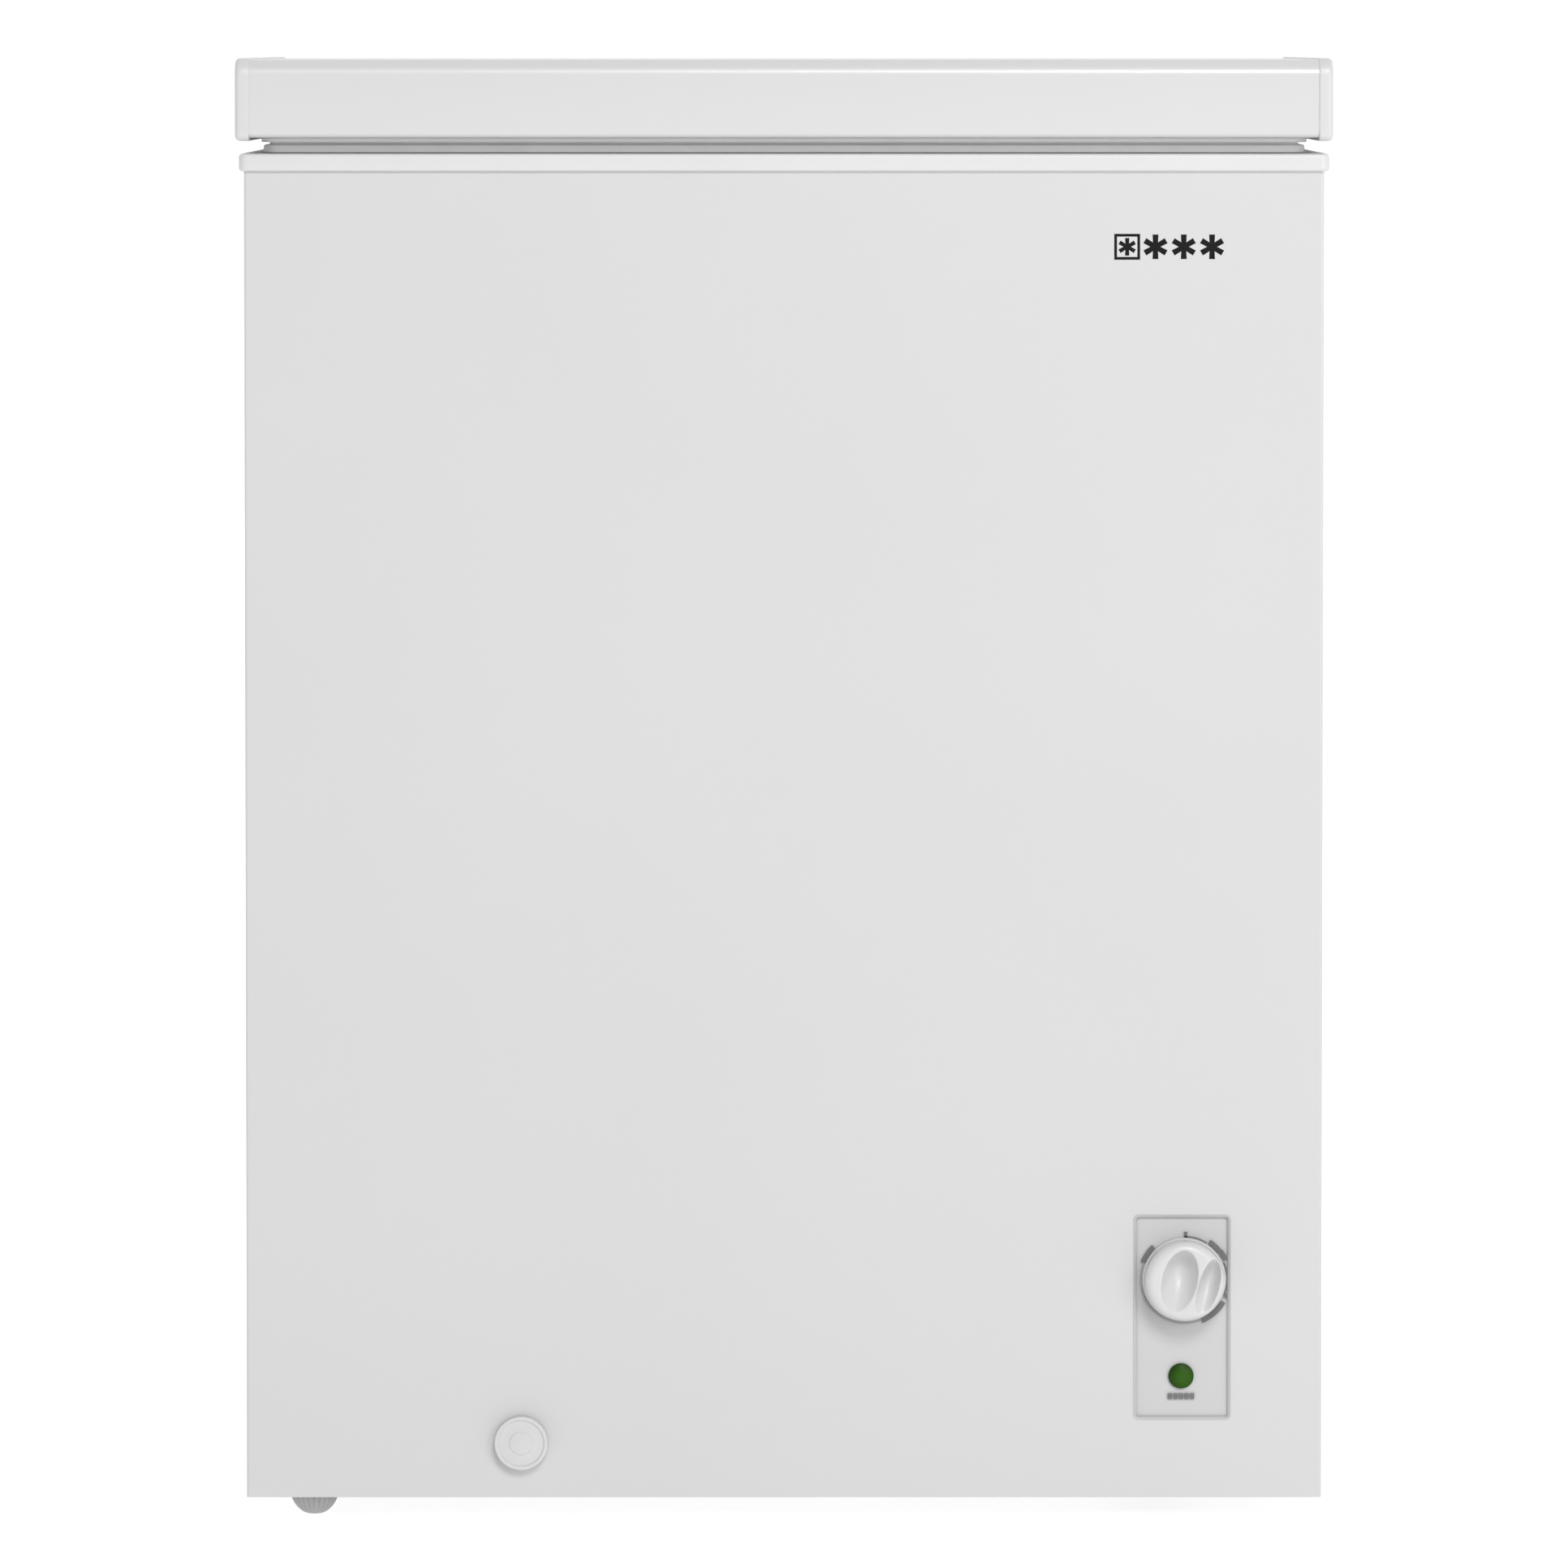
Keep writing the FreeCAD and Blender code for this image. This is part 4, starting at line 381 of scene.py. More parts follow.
black_enamel = make_black_enamel()
copper = make_copper()
rubber = make_rubber()
wire_coat = make_wire_coat()
foam = make_foam()
print("made", black_enamel.name, copper.name, rubber.name, wire_coat.name, foam.name)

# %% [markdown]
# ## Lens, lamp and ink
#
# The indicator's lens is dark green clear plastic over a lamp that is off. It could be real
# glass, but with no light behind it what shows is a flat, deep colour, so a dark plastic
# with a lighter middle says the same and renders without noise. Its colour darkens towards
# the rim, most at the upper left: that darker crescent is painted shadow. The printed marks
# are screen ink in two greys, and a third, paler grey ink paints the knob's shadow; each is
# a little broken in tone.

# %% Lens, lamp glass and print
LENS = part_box("indicator_lens")
lens_middle = (LENS[0] + LENS[1]) / 2


def make_green_lens():
    finish = Finish("green_lens", Coat_Weight=0.05, Coat_Roughness=0.3, Specular_IOR_Level=0.08)
    # The rim's darkening is measured from a point right of and below the lens's middle, so this painted
    # shadow is darkest at the upper left.
    offset = finish.node("ShaderNodeVectorMath", {"operation": "SUBTRACT"},
                         {0: finish.place, 1: tuple(lens_middle + Vector((0.0012, 0, -0.001)))}).out("Vector")
    flat = finish.node("ShaderNodeVectorMath", {"operation": "MULTIPLY"},
                       {0: offset, 1: (1, 0, 1)}).out("Vector")
    radius = finish.node("ShaderNodeVectorMath", {"operation": "LENGTH"}, {0: flat}).out("Value")
    rim_shadow = (radius / ((LENS[1].x - LENS[0].x) / 2)).clipped().power(2.2)
    cloud = finish.noise(3, 2)
    color = finish.mix(rim_shadow * 0.85 + cloud * 0.15, (0.029, 0.092, 0.006, 1.0), (0.012, 0.040, 0.004, 1.0))
    return finish.drive(Base_Color=color, Roughness=0.4 + cloud * 0.1,
                        Normal=finish.bump(finish.cells(1.6).out("Distance"), 0.05, 0.25))


def make_lamp_glass():
    finish = Finish("lamp_glass", Transmission_Weight=0.8, IOR=1.5)
    cloud = finish.noise(4, 2)
    color = finish.mix(cloud, grey(0.75, 0.03), grey(0.85, 0.02))
    return finish.drive(Base_Color=color, Roughness=0.06 + cloud * 0.1)


def make_ink(name, level):
    finish = Finish(name, Specular_IOR_Level=0.15)
    patch = finish.noise(0.9, 3)
    color = finish.mix(patch, grey(level * 0.85), grey(level * 1.2))
    return finish.drive(Base_Color=color, Roughness=0.45 + patch * 0.15)


green_lens = make_green_lens()
lamp_glass = make_lamp_glass()
panel_ink = make_ink("panel_ink", 0.15)
# This paler ink is no print: it paints the knob's shadow on the panel round the knob's lower left.
knob_shadow_ink = make_ink("knob_shadow_ink", 0.30)
badge_ink = make_ink("badge_ink", 0.004)
print("made", green_lens.name, lamp_glass.name, panel_ink.name, knob_shadow_ink.name, badge_ink.name)

# %% [markdown]
# ## Give every piece its finish
#
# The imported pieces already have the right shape, so most of them only need a material in
# their slot. A table from the record's slot names to finishes does that in one loop, and
# later cells replace the pieces whose shape deserves a finer mesh.

# %% Finishes by slot
BY_SLOT = {
    "painted_steel": enamel, "lid_steel": lid_enamel, "galvanised": zinc, "liner_aluminium": stucco,
    "white_plastic": cap_plastic, "grey_plastic": panel_plastic, "black_plastic": black_plastic,
    "gasket_vinyl": seal_vinyl, "foam": foam, "compressor_black": black_enamel, "copper": copper,
    "rubber": rubber, "green_lens": green_lens, "lamp_glass": lamp_glass, "screw_steel": screw_steel,
    "basket_wire": wire_coat, "wire_insulation": insulation, "spring_steel": spring_steel,
    "drain_tube_plastic": drain_plastic,
}
SPECIAL = {"top_collar": collar_plastic, "knob": knob_plastic, "lid_inner_panel": inner_plastic}
node_slot = {part["node"]: part["material_slot"] for part in frame["record"]["subparts"]}


def dress(thing, material):
    thing.data.materials.clear()
    thing.data.materials.append(material)


for name, thing in frame["nodes"].items():
    dress(thing, SPECIAL.get(name) or (foot_plastic if name.startswith("foot_") and name != "foot_nuts"
                                       else BY_SLOT[node_slot[name]]))
print("dressed", len(node_slot), "pieces with", len(set(BY_SLOT.values())), "finishes")

# %% [markdown]
# ## Tools for finer meshes
#
# Three ways of making a solid cover almost every piece here. Loops of points can be stacked
# and bridged, which suits frames, caps and trays. An outline can be turned about an axis,
# which suits caps, feet and lenses. A flat outline can be given a thickness, which suits
# printed marks. Each way ends in the same helper, which makes the object, shades its round
# faces smoothly, keeps its edges crisp, and ties it to its body.

# %% From points to a finished piece
SHARP = math.radians(32)


def piece(name, points, faces, material, body, slot, replaces=()):
    """A mesh object from points in millimetres, riding on a body."""
    mesh = bpy.data.meshes.new(name)
    mesh.from_pydata([tuple(value * MM for value in point) for point in points], [], faces)
    work = bmesh.new()
    work.from_mesh(mesh)
    bmesh.ops.remove_doubles(work, verts=work.verts, dist=1e-7)
    bmesh.ops.dissolve_degenerate(work, edges=work.edges, dist=1e-7)
    bmesh.ops.recalc_face_normals(work, faces=work.faces)
    work.to_mesh(mesh)
    work.free()
    mesh.polygons.foreach_set("use_smooth", [True] * len(mesh.polygons))
    mesh.set_sharp_from_angle(angle=SHARP)
    mesh.materials.append(material)
    thing = bpy.data.objects.new(name, mesh)
    bpy.context.scene.collection.objects.link(thing)
    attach(thing, body)
    if replaces:
        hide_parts(*replaces)
    return thing


def arc(middle_u, middle_v, radius, start, end, steps=6):
    """Points on an arc, from one angle in degrees to another."""
    angles = [math.radians(start + (end - start) * index / steps) for index in range(steps + 1)]
    return [(middle_u + radius * math.cos(a), middle_v + radius * math.sin(a)) for a in angles]


def rounded_loop(u0, v0, u1, v1, radii, steps=8):
    """Points round a rectangle; radii are for the corners from low-low, anticlockwise."""
    low_left, low_right, high_right, high_left = [max(radius, 0.02) for radius in radii]
    return (arc(u0 + low_left, v0 + low_left, low_left, 180, 270, steps)
            + arc(u1 - low_right, v0 + low_right, low_right, 270, 360, steps)
            + arc(u1 - high_right, v1 - high_right, high_right, 0, 90, steps)
            + arc(u0 + high_left, v1 - high_left, high_left, 90, 180, steps))


def bridge(loops, closed):
    """Faces between stacked loops of equal length; open stacks are capped."""
    count = len(loops[0])
    points = [point for loop in loops for point in loop]
    faces = []
    pairs = len(loops) if closed else len(loops) - 1
    for row in range(pairs):
        a = row * count
        b = (row + 1) % len(loops) * count
        for index in range(count):
            after = (index + 1) % count
            faces.append((a + index, a + after, b + after, b + index))
    if not closed:
        faces.append(tuple(range(count))[::-1])
        faces.append(tuple(range(len(points) - count, len(points))))
    return points, faces


def join(*parts):
    """Several point and face lists as one."""
    points = []
    faces = []
    for part_points, part_faces in parts:
        base = len(points)
        points += part_points
        faces += [tuple(base + index for index in face) for face in part_faces]
    return points, faces


def turned(outline, steps, place):
    """An outline of (radius, height) points turned about an axis; its ends lie on the axis."""
    angles = [2 * math.pi * index / steps for index in range(steps)]
    loops = [[place(max(radius, 1e-4), angle, height) for angle in angles] for radius, height in outline]
    return bridge(loops, closed=False)


def box_mm(node):
    low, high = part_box(node)
    return Vector(low) / MM, Vector(high) / MM


print("tools: piece, arc, rounded_loop, bridge, join, turned")

# %% [markdown]
# ## The lid's skin
#
# The lid's top and front are one sheet, folded over a large radius. A roll-formed edge has
# a highlight that runs its whole length, so its mesh gets many more steps round that radius
# than a file made for collision needs. The outline is drawn in Y and Z, then swept along X.
# The sheet is doubled back inside, so that nothing is paper thin when the lid is open.

# %% Lid skin
LID_LOW, LID_HIGH = box_mm("lid_outer_panel")
TOP_RADIUS = 9.8
LOWER_RADIUS = 4.0
LID_SHEET = 0.8
LID_RETURN = 20.0


def lid_section(inset):
    """The lid's outline in Y and Z, from the front return round the top to the rear return."""
    front, low = LID_LOW.y + inset, LID_LOW.z + inset
    back, top = LID_HIGH.y - inset, LID_HIGH.z - inset
    upper = TOP_RADIUS - inset
    lower = LOWER_RADIUS - inset
    return ([(LID_LOW.y + LID_RETURN, low)]
            + arc(front + lower, low + lower, lower, 270, 180, 8)
            + arc(front + upper, top - upper, upper, 180, 90, 20)
            + arc(back - upper, top - upper, upper, 90, 0, 20)
            + arc(back - lower, low + lower, lower, 0, -90, 8)
            + [(LID_HIGH.y - LID_RETURN, low)])


def sweep_across(section, x0, x1):
    """A closed outline in Y and Z, swept along X."""
    return bridge([[(x, y, z) for y, z in section] for x in (x0, x1)], closed=False)


skin_outline = lid_section(0.0) + lid_section(LID_SHEET)[::-1]
piece("lid_skin", *sweep_across(skin_outline, LID_LOW.x, LID_HIGH.x), lid_enamel,
      "lid", "lid_steel", ["lid_outer_panel"])
print("lid skin", len(skin_outline), "points in its section")

# %% [markdown]
# ## The lid's end caps
#
# Each end of the lid wears a moulded cap. Its outline is a little larger than the sheet's
# section, so a fine shadow shows where the two meet, and its outer rim is rounded. The cap is
# built as a stack of outlines: each one is the same loop, drawn smaller as it nears the end
# face, on a quarter circle. The inner side is the same loop again, one wall further in. A
# flat strip turns in under the lid and hides the foam, as the sheet's own returns do in front
# and behind.

# %% End caps
CAP_RIM = 2.8
CAP_SEAM = 0.8
CAP_WALL = 2.5
CAP_TAPER = 1.2
CAP_CORNER = 5.0
RETURN_GAP = 0.3
RETURN_SETBACK = 3.0
RETURN_CORNER = 0.8
RETURN_CHAMFER = 0.3
CLEAR = 0.05


def cap_loop(low, high, inset):
    """The cap's outline in Y and Z, shrunk by an inset."""
    upper = TOP_RADIUS + CAP_SEAM
    radii = [max(radius - inset, 0.6) for radius in (CAP_CORNER, CAP_CORNER, upper, upper)]
    return rounded_loop(low.y + inset, low.z + inset, high.y - inset, high.z - inset, radii, 10)


def make_cap(side, name):
    low, high = box_mm("lid_end_cap_" + name)
    end = high.x if side > 0 else low.x
    seam = LID_HIGH.x if side > 0 else LID_LOW.x
    stations = [(seam, CAP_WALL), (end - side * CAP_WALL, CAP_WALL + CAP_TAPER)]
    inner = [[(x, y, z) for y, z in cap_loop(low, high, inset)] for x, inset in stations]
    outer_stations = [(seam + side * (CAP_SEAM - u), CAP_SEAM - v) for u, v in arc(0, 0, CAP_SEAM, 0, 90, 6)]
    for y, x in arc(0, 0, CAP_RIM, 0, 90, 10):
        outer_stations.append((end - side * (CAP_RIM - x), CAP_RIM - y))
    outer = [[(x, y, z) for y, z in cap_loop(low, high, inset)] for x, inset in outer_stations]
    return piece("lid_cap_" + name, *bridge(inner[::-1] + outer, closed=False),
                 cap_plastic, "lid", "white_plastic", ["lid_end_cap_" + name])


def make_cap_return(side, name):
    """The strip of the cap that turns in under the lid, as far as the inner panel."""
    low, high = box_mm("lid_end_cap_" + name)
    inner = side * (box_mm("lid_inner_panel")[1].x + RETURN_GAP)
    outer = (high.x if side > 0 else low.x) - side * CAP_WALL
    x0, x1 = sorted((inner, outer))
    y0, y1 = low.y + RETURN_SETBACK, high.y - RETURN_SETBACK
    under = LID_LOW.z + LID_SHEET + CLEAR
    over = box_mm("lid_foam")[0].z - CLEAR
    loops = []
    for inset, z in ((RETURN_CHAMFER, under), (0.0, under + RETURN_CHAMFER), (0.0, over)):
        loop = rounded_loop(x0 + inset, y0 + inset, x1 - inset, y1 - inset, [RETURN_CORNER] * 4, 4)
        loops.append([(x, y, z) for x, y in loop])
    return piece("lid_cap_return_" + name, *bridge(loops, closed=False), cap_plastic, "lid", "white_plastic")


ENDS = ((-1, "left"), (1, "right"))
caps = [make_cap(*end) for end in ENDS] + [make_cap_return(*end) for end in ENDS]
print("end caps", [len(cap.data.vertices) for cap in caps])

# %% [markdown]
# ## The frame round the well
#
# A moulded channel hides the raw edges of the wrapper and the liner. It is a section swept
# round a rectangle: down the outside, across the top with two soft edges, and down into the
# well as a lip. Sweeping offsets of a rounded rectangle keeps the corners round everywhere.

# %% Top frame
FRAME_LOW, FRAME_HIGH = box_mm("top_collar")
FRAME_WALL = 2.5
FRAME_CORNER = 5.0
WELL_CORNER = 15.5
RIM_TO_WELL = 59.7
FRAME_SKIRT = 10.4
FRAME_EDGE = 2.2
LIP_EDGE = 1.6


def ring_loop(low, high, inset, z, corner, steps=10):
    """A rounded rectangle in X and Y at one height."""
    radius = max(corner - inset, 0.8)
    loop = rounded_loop(low.x + inset, low.y + inset, high.x - inset, high.y - inset, [radius] * 4, steps)
    return [(x, y, z) for x, y in loop]


def make_top_frame():
    top = FRAME_HIGH.z
    skirt_low = top - FRAME_SKIRT
    section = [(FRAME_WALL, top - FRAME_WALL), (FRAME_WALL, skirt_low)]
    section += arc(FRAME_EDGE, skirt_low + FRAME_EDGE, FRAME_EDGE, 270, 180, 6)
    section += arc(FRAME_EDGE, top - FRAME_EDGE, FRAME_EDGE, 180, 90, 8)
    loops = [ring_loop(FRAME_LOW, FRAME_HIGH, inset, z, FRAME_CORNER) for inset, z in section]
    for offset, z in arc(RIM_TO_WELL - LIP_EDGE, top - LIP_EDGE, LIP_EDGE, 90, 0, 6):
        loops.append(ring_loop(FRAME_LOW, FRAME_HIGH, offset, z, WELL_CORNER + offset))
    for offset, z in ((RIM_TO_WELL, FRAME_LOW.z), (RIM_TO_WELL - FRAME_WALL, FRAME_LOW.z),
                      (RIM_TO_WELL - FRAME_WALL, top - FRAME_WALL)):
        loops.append(ring_loop(FRAME_LOW, FRAME_HIGH, offset, z, WELL_CORNER + offset))
    return piece("top_frame", *bridge(loops, closed=True), collar_plastic,
                 "cabinet", "white_plastic", ["top_collar"])


top_frame = make_top_frame()
print("top frame", len(top_frame.data.vertices), "points")

# %% [markdown]
# ## The seal
#
# The seal is one long extrusion, mitred at the corners: a flat foot under the lid, a narrow
# neck, and a soft tube that closes on the frame. From the front it reads as three stacked
# bands, a flat one, a shadowed groove and a round one, so the round band is truly round here.

# %% Seal
SEAL_LOW, SEAL_HIGH = box_mm("lid_gasket")
SEAL_FOOT_TOP = LID_LOW.z
SEAL_GROOVE_TOP = SEAL_FOOT_TOP - 2.7
SEAL_TUBE_TOP = SEAL_FOOT_TOP - 4.1
SEAL_GROOVE_DEPTH = 4.8
SEAL_TUBE_INSET = 1.2
SEAL_TUBE_UPPER = 1.4
SEAL_TUBE_LOWER = 1.0
SEAL_WIDTH = 15.4
SEAL_CORNER = 10.0


def make_seal():
    outside = [(0.5, SEAL_FOOT_TOP), (0.0, SEAL_FOOT_TOP - 0.5), (0.0, SEAL_GROOVE_TOP + 0.4),
               (0.4, SEAL_GROOVE_TOP), (SEAL_GROOVE_DEPTH, SEAL_GROOVE_TOP - 0.1),
               (SEAL_GROOVE_DEPTH, SEAL_TUBE_TOP + 0.1)]
    for radius, middle_z, start in ((SEAL_TUBE_UPPER, SEAL_TUBE_TOP - SEAL_TUBE_UPPER, 90),
                                    (SEAL_TUBE_LOWER, SEAL_LOW.z + SEAL_TUBE_LOWER, 180)):
        outside += arc(SEAL_TUBE_INSET + radius, middle_z, radius, start, start + 90, 7)
    inside = [(SEAL_WIDTH - inset, z) for inset, z in outside[::-1]]
    loops = [ring_loop(SEAL_LOW, SEAL_HIGH, inset, z, SEAL_CORNER, 6) for inset, z in outside + inside]
    return piece("seal", *bridge(loops, closed=True), seal_vinyl, "lid", "gasket_vinyl", ["lid_gasket"])


seal = make_seal()
print("seal", len(seal.data.vertices), "points")

# %% [markdown]
# ## The knob
#
# The thermostat's knob is a round cap with two scoops, so that finger and thumb meet on the
# ridge between them. Its face is a grid of rings, each point of which is pushed in by the
# depth of the two scoops at that place. A smooth maximum blends where the scoops meet the
# face, which is how a mould's edges look after polishing. The sides are turned as usual, and
# the edge between side and face is a generous round, so its lower left falls into shade.

# %% Knob
KNOB_LOW, KNOB_HIGH = box_mm("knob")
KNOB_MIDDLE = ((KNOB_LOW.x + KNOB_HIGH.x) / 2, (KNOB_LOW.z + KNOB_HIGH.z) / 2)
KNOB_RADIUS = (KNOB_HIGH.x - KNOB_LOW.x) / 2
KNOB_FACE_Y = KNOB_LOW.y
KNOB_DEPTH = 19.7
KNOB_WALL = 2.4
KNOB_SKIRT = 5.0
KNOB_DRAFT = 0.3
KNOB_STEP = 0.9
KNOB_EDGE = 5.6
KNOB_BLEND = 1.4
RIDGE_TILT = math.radians(13)
SCOOPS = ((10.2, 18.0, -3.2, 11.0, 0.0), (6.0, 17.5, 14.0, 9.5, math.radians(3)))
SCOOP_SLOPE = 0.55
RINGS = 72
SPOKES = 160


def scoop_depth(x, z, half_width, half_height, offset, depth, lean):
    """How deep a scoop is at a place on the knob's face, deepest near its upper end; below 0 outside."""
    across = x * math.cos(RIDGE_TILT) - z * math.sin(RIDGE_TILT) - offset
    upward = x * math.sin(RIDGE_TILT) + z * math.cos(RIDGE_TILT)
    u = across * math.cos(lean) - upward * math.sin(lean)
    v = across * math.sin(lean) + upward * math.cos(lean)
    left = 1 - (u / half_width) ** 2 - (v / half_height) ** 2
    slope = 1 + SCOOP_SLOPE * v / half_height if left > 0 else 1
    return depth * slope * math.copysign(abs(left) ** 0.75, left)


def smooth_maximum(a, b, blend):
    return (a + b + math.sqrt((a - b) ** 2 + blend ** 2)) / 2


def knob_place(radius, angle, y):
    """A point of the knob, pushed in where a scoop is deeper than its surface."""
    x = radius * math.cos(angle)
    z = radius * math.sin(angle)
    for scoop in SCOOPS:
        y = smooth_maximum(y, KNOB_FACE_Y + scoop_depth(x, z, *scoop), KNOB_BLEND)
    return (KNOB_MIDDLE[0] + x, y, KNOB_MIDDLE[1] + z)


def make_knob():
    low_y = KNOB_FACE_Y + KNOB_DEPTH
    step_y = low_y - KNOB_SKIRT
    side = KNOB_RADIUS - KNOB_STEP
    outline = [(KNOB_RADIUS - KNOB_WALL, low_y), (KNOB_RADIUS, low_y),
               (KNOB_RADIUS - KNOB_DRAFT, step_y + 0.4), (KNOB_RADIUS - 2 * KNOB_DRAFT, step_y),
               (side, step_y - 0.2)]
    face_radius = side - 0.4
    for u, v in arc(0, 0, KNOB_EDGE, 0, 90, 16):
        outline.append((face_radius - KNOB_EDGE + u, KNOB_FACE_Y + KNOB_EDGE - v))
    flat = face_radius - KNOB_EDGE
    outline += [(flat * (1 - ring / RINGS), KNOB_FACE_Y) for ring in range(1, RINGS + 1)]
    return piece("thermostat_knob", *turned(outline, SPOKES, knob_place), knob_plastic,
                 "knob", "white_plastic", ["knob"])


knob = make_knob()
print("knob", len(knob.data.vertices), "points")

# %% [markdown]
# ## Lens, drain cap and feet
#
# Three kinds of round part are turned from an outline. The lens is a shallow dome with a
# small rim. The drain cap has a raised rim, a dished face and a low boss. A foot is a domed
# pad with grip ribs: a wave round the axis moves its wide upper part in and out.

# %% Turned pieces
LENS_SHANK = 4.0
LENS_SHANK_LENGTH = 6.0
LENS_RIM = 0.35
LENS_RINGS = 14
STOPPER_SPIGOT = 6.95
STOPPER_SPIGOT_LENGTH = 16.6
STOPPER_EDGE = 0.9
STOPPER_DISH = 0.8
FOOT_SHANK = 4.0
PAD_RADIUS = 13.5
PAD_HEIGHT = 11.5
PAD_PROFILE = ((3.2, 0.0), (5.0, 0.35), (7.0, 1.2), (8.8, 2.6), (10.4, 4.2), (11.7, 5.9), (12.7, 7.6),
               (13.3, 9.0), (PAD_RADIUS, 10.2), (13.4, 11.2), (12.9, PAD_HEIGHT))
RIBS = 24
RIB_DEPTH = 0.7
RIBS_FROM = 10.0
PAD_SPOKES = 192


def facing_front(middle_x, middle_z):
    """Places a turned outline so that its axis runs along Y and height is Y."""
    return lambda radius, angle, y: (middle_x + radius * math.cos(angle), y,
                                     middle_z + radius * math.sin(angle))


def make_dome():
    low, high = box_mm("indicator_lens")
    radius = (high.x - low.x) / 2
    seat = box_mm("control_panel")[0].y
    rise = seat - low.y
    sphere = (radius ** 2 + rise ** 2) / (2 * rise)
    outline = [(0.0, seat + LENS_SHANK_LENGTH), (LENS_SHANK, seat + LENS_SHANK_LENGTH), (LENS_SHANK, seat),
               (radius, seat), (radius, seat - LENS_RIM)]
    for ring in range(1, LENS_RINGS + 1):
        r = (radius - 0.25) * (1 - ring / LENS_RINGS)
        outline.append((r, low.y + sphere - math.sqrt(sphere ** 2 - r ** 2)))
    place = facing_front((low.x + high.x) / 2, (low.z + high.z) / 2)
    return piece("lens_dome", *turned(outline, 64, place), green_lens,
                 "cabinet", "green_lens", ["indicator_lens"])


def make_stopper():
    low, high = box_mm("drain_cap")
    radius = (high.x - low.x) / 2
    face = low.y
    back = high.y - STOPPER_SPIGOT_LENGTH
    dish = face + STOPPER_DISH
    outline = [(0.0, high.y), (6.0, high.y), (STOPPER_SPIGOT, high.y - 1.0), (STOPPER_SPIGOT, back),
               (radius, back)]
    outline += arc(radius - STOPPER_EDGE, face + STOPPER_EDGE, STOPPER_EDGE, 0, -90)
    outline += [(radius * 0.885, face), (radius * 0.86, face + 0.25), (radius * 0.84, dish),
                (radius * 0.45, dish), (radius * 0.43, dish - 0.1), (radius * 0.41, face + 0.3),
                (radius * 0.39, face + 0.2), (0.0, face + 0.2)]
    place = facing_front((low.x + high.x) / 2, (low.z + high.z) / 2)
    return piece("drain_stopper", *turned(outline, 96, place), cap_plastic,
                 "drain_cap", "white_plastic", ["drain_cap"])


def make_foot(node):
    low, high = box_mm(node)
    middle = (low + high) / 2
    share = (high.x - low.x) / 2 / PAD_RADIUS
    outline = [(0.0, 0.0)] + [(r * share, z) for r, z in PAD_PROFILE]
    outline += [(FOOT_SHANK, PAD_HEIGHT), (FOOT_SHANK, high.z), (0.0, high.z)]

    def place(r, angle, z):
        grip = 0.5 + 0.5 * math.cos(angle * RIBS)
        ribbed = r - RIB_DEPTH * grip ** 3 if r > RIBS_FROM else r
        return (middle.x + ribbed * math.cos(angle), middle.y + ribbed * math.sin(angle), z)

    return piece(node + "_pad", *turned(outline, PAD_SPOKES, place), foot_plastic,
                 node, "grey_plastic", [node])


make_dome()
make_stopper()
feet = [make_foot("foot_" + place) for place in ("front_left", "front_right", "rear_left", "rear_right")]
print("turned pieces:", 2 + len(feet))

# %% [markdown]
# ## The bead round the control panel
#
# The control panel sits a little deeper than the sheet, in a hole whose edge is covered by a
# soft rolled bead. The panel's own rim runs on behind the sheet. The bead curves from the
# sheet's face down to the panel, so its four sides catch the light differently. Its plastic is
# a darker grey than the panel's: painted shade for the shadowed groove round the panel. The
# bead's shading and that darker grey together draw the panel's outline.

# %% Bead round the panel
PLATE_LOW, PLATE_HIGH = box_mm("control_panel")
PLATE_RIM = 6.0
BEAD_LAP = 0.6
BEAD_PROUD = 0.3
BEAD_FOOT = 1.3
BEAD_CORNER = 2.6
BEAD_STEPS = 12


def bead_loop(grow, y):
    """A rounded rectangle about the panel's hole, larger by some distance on each side."""
    inset = PLATE_RIM - grow
    loop = rounded_loop(PLATE_LOW.x + inset, PLATE_LOW.z + inset, PLATE_HIGH.x - inset, PLATE_HIGH.z - inset,
                        [BEAD_CORNER + grow] * 4)
    return [(x, y, z) for x, z in loop]


def make_bead():
    face = box_mm("outer_shell")[0].y
    plate = PLATE_LOW.y
    crown = face - BEAD_PROUD
    section = [(BEAD_LAP, face)]
    for step in range(BEAD_STEPS + 1):
        swing = (1 - math.cos(math.pi * step / BEAD_STEPS)) / 2
        section.append((BEAD_LAP - 0.1 - swing * (BEAD_LAP + BEAD_FOOT - 0.1),
                        crown + (plate - crown - 0.05) * swing ** 1.6))
    section += [(-BEAD_FOOT, plate), (-0.05, plate), (-0.05, face)]
    return piece("panel_bezel", *bridge([bead_loop(grow, y) for grow, y in section], closed=True),
                 bead_painted_shade_plastic, "cabinet", "grey_plastic")


bead = make_bead()
print("bead", len(bead.data.vertices), "points")

# %% [markdown]
# ## Printed marks
#
# The dial's marks are screen printed on the panel: bands that grow as the knob is turned
# towards colder. A print is a film a few hundredths of a millimetre thick. Here each band is
# a real, very thin piece, cut from a ring between two angles, which keeps its edge sharp at
# any distance. A paler ring round the knob's lower left is no print: it is the knob's shadow,
# painted as bands of their own. The lens has a row of bars under it, and the cabinet's corner has
# the usual four-star freezer symbol, which is a general sign for how cold a freezer can go.

# %% Bands of the dial
INK_FILM = 0.06
PRINT_Y = PLATE_LOW.y


def slab(outline, front_y):
    """A flat outline in X and Z, given the thickness of a film of ink that faces the front."""
    return bridge([[(x, y, z) for x, z in outline] for y in (front_y, front_y - INK_FILM)], closed=False)


def band(start, end, inner, outer):
    """A piece of a ring about the knob, between two angles and two radii."""
    steps = max(4, int(abs(end - start) / 3))
    outline = arc(*KNOB_MIDDLE, inner, start, end, steps) + arc(*KNOB_MIDDLE, outer, end, start, steps)
    return slab(outline, PRINT_Y)


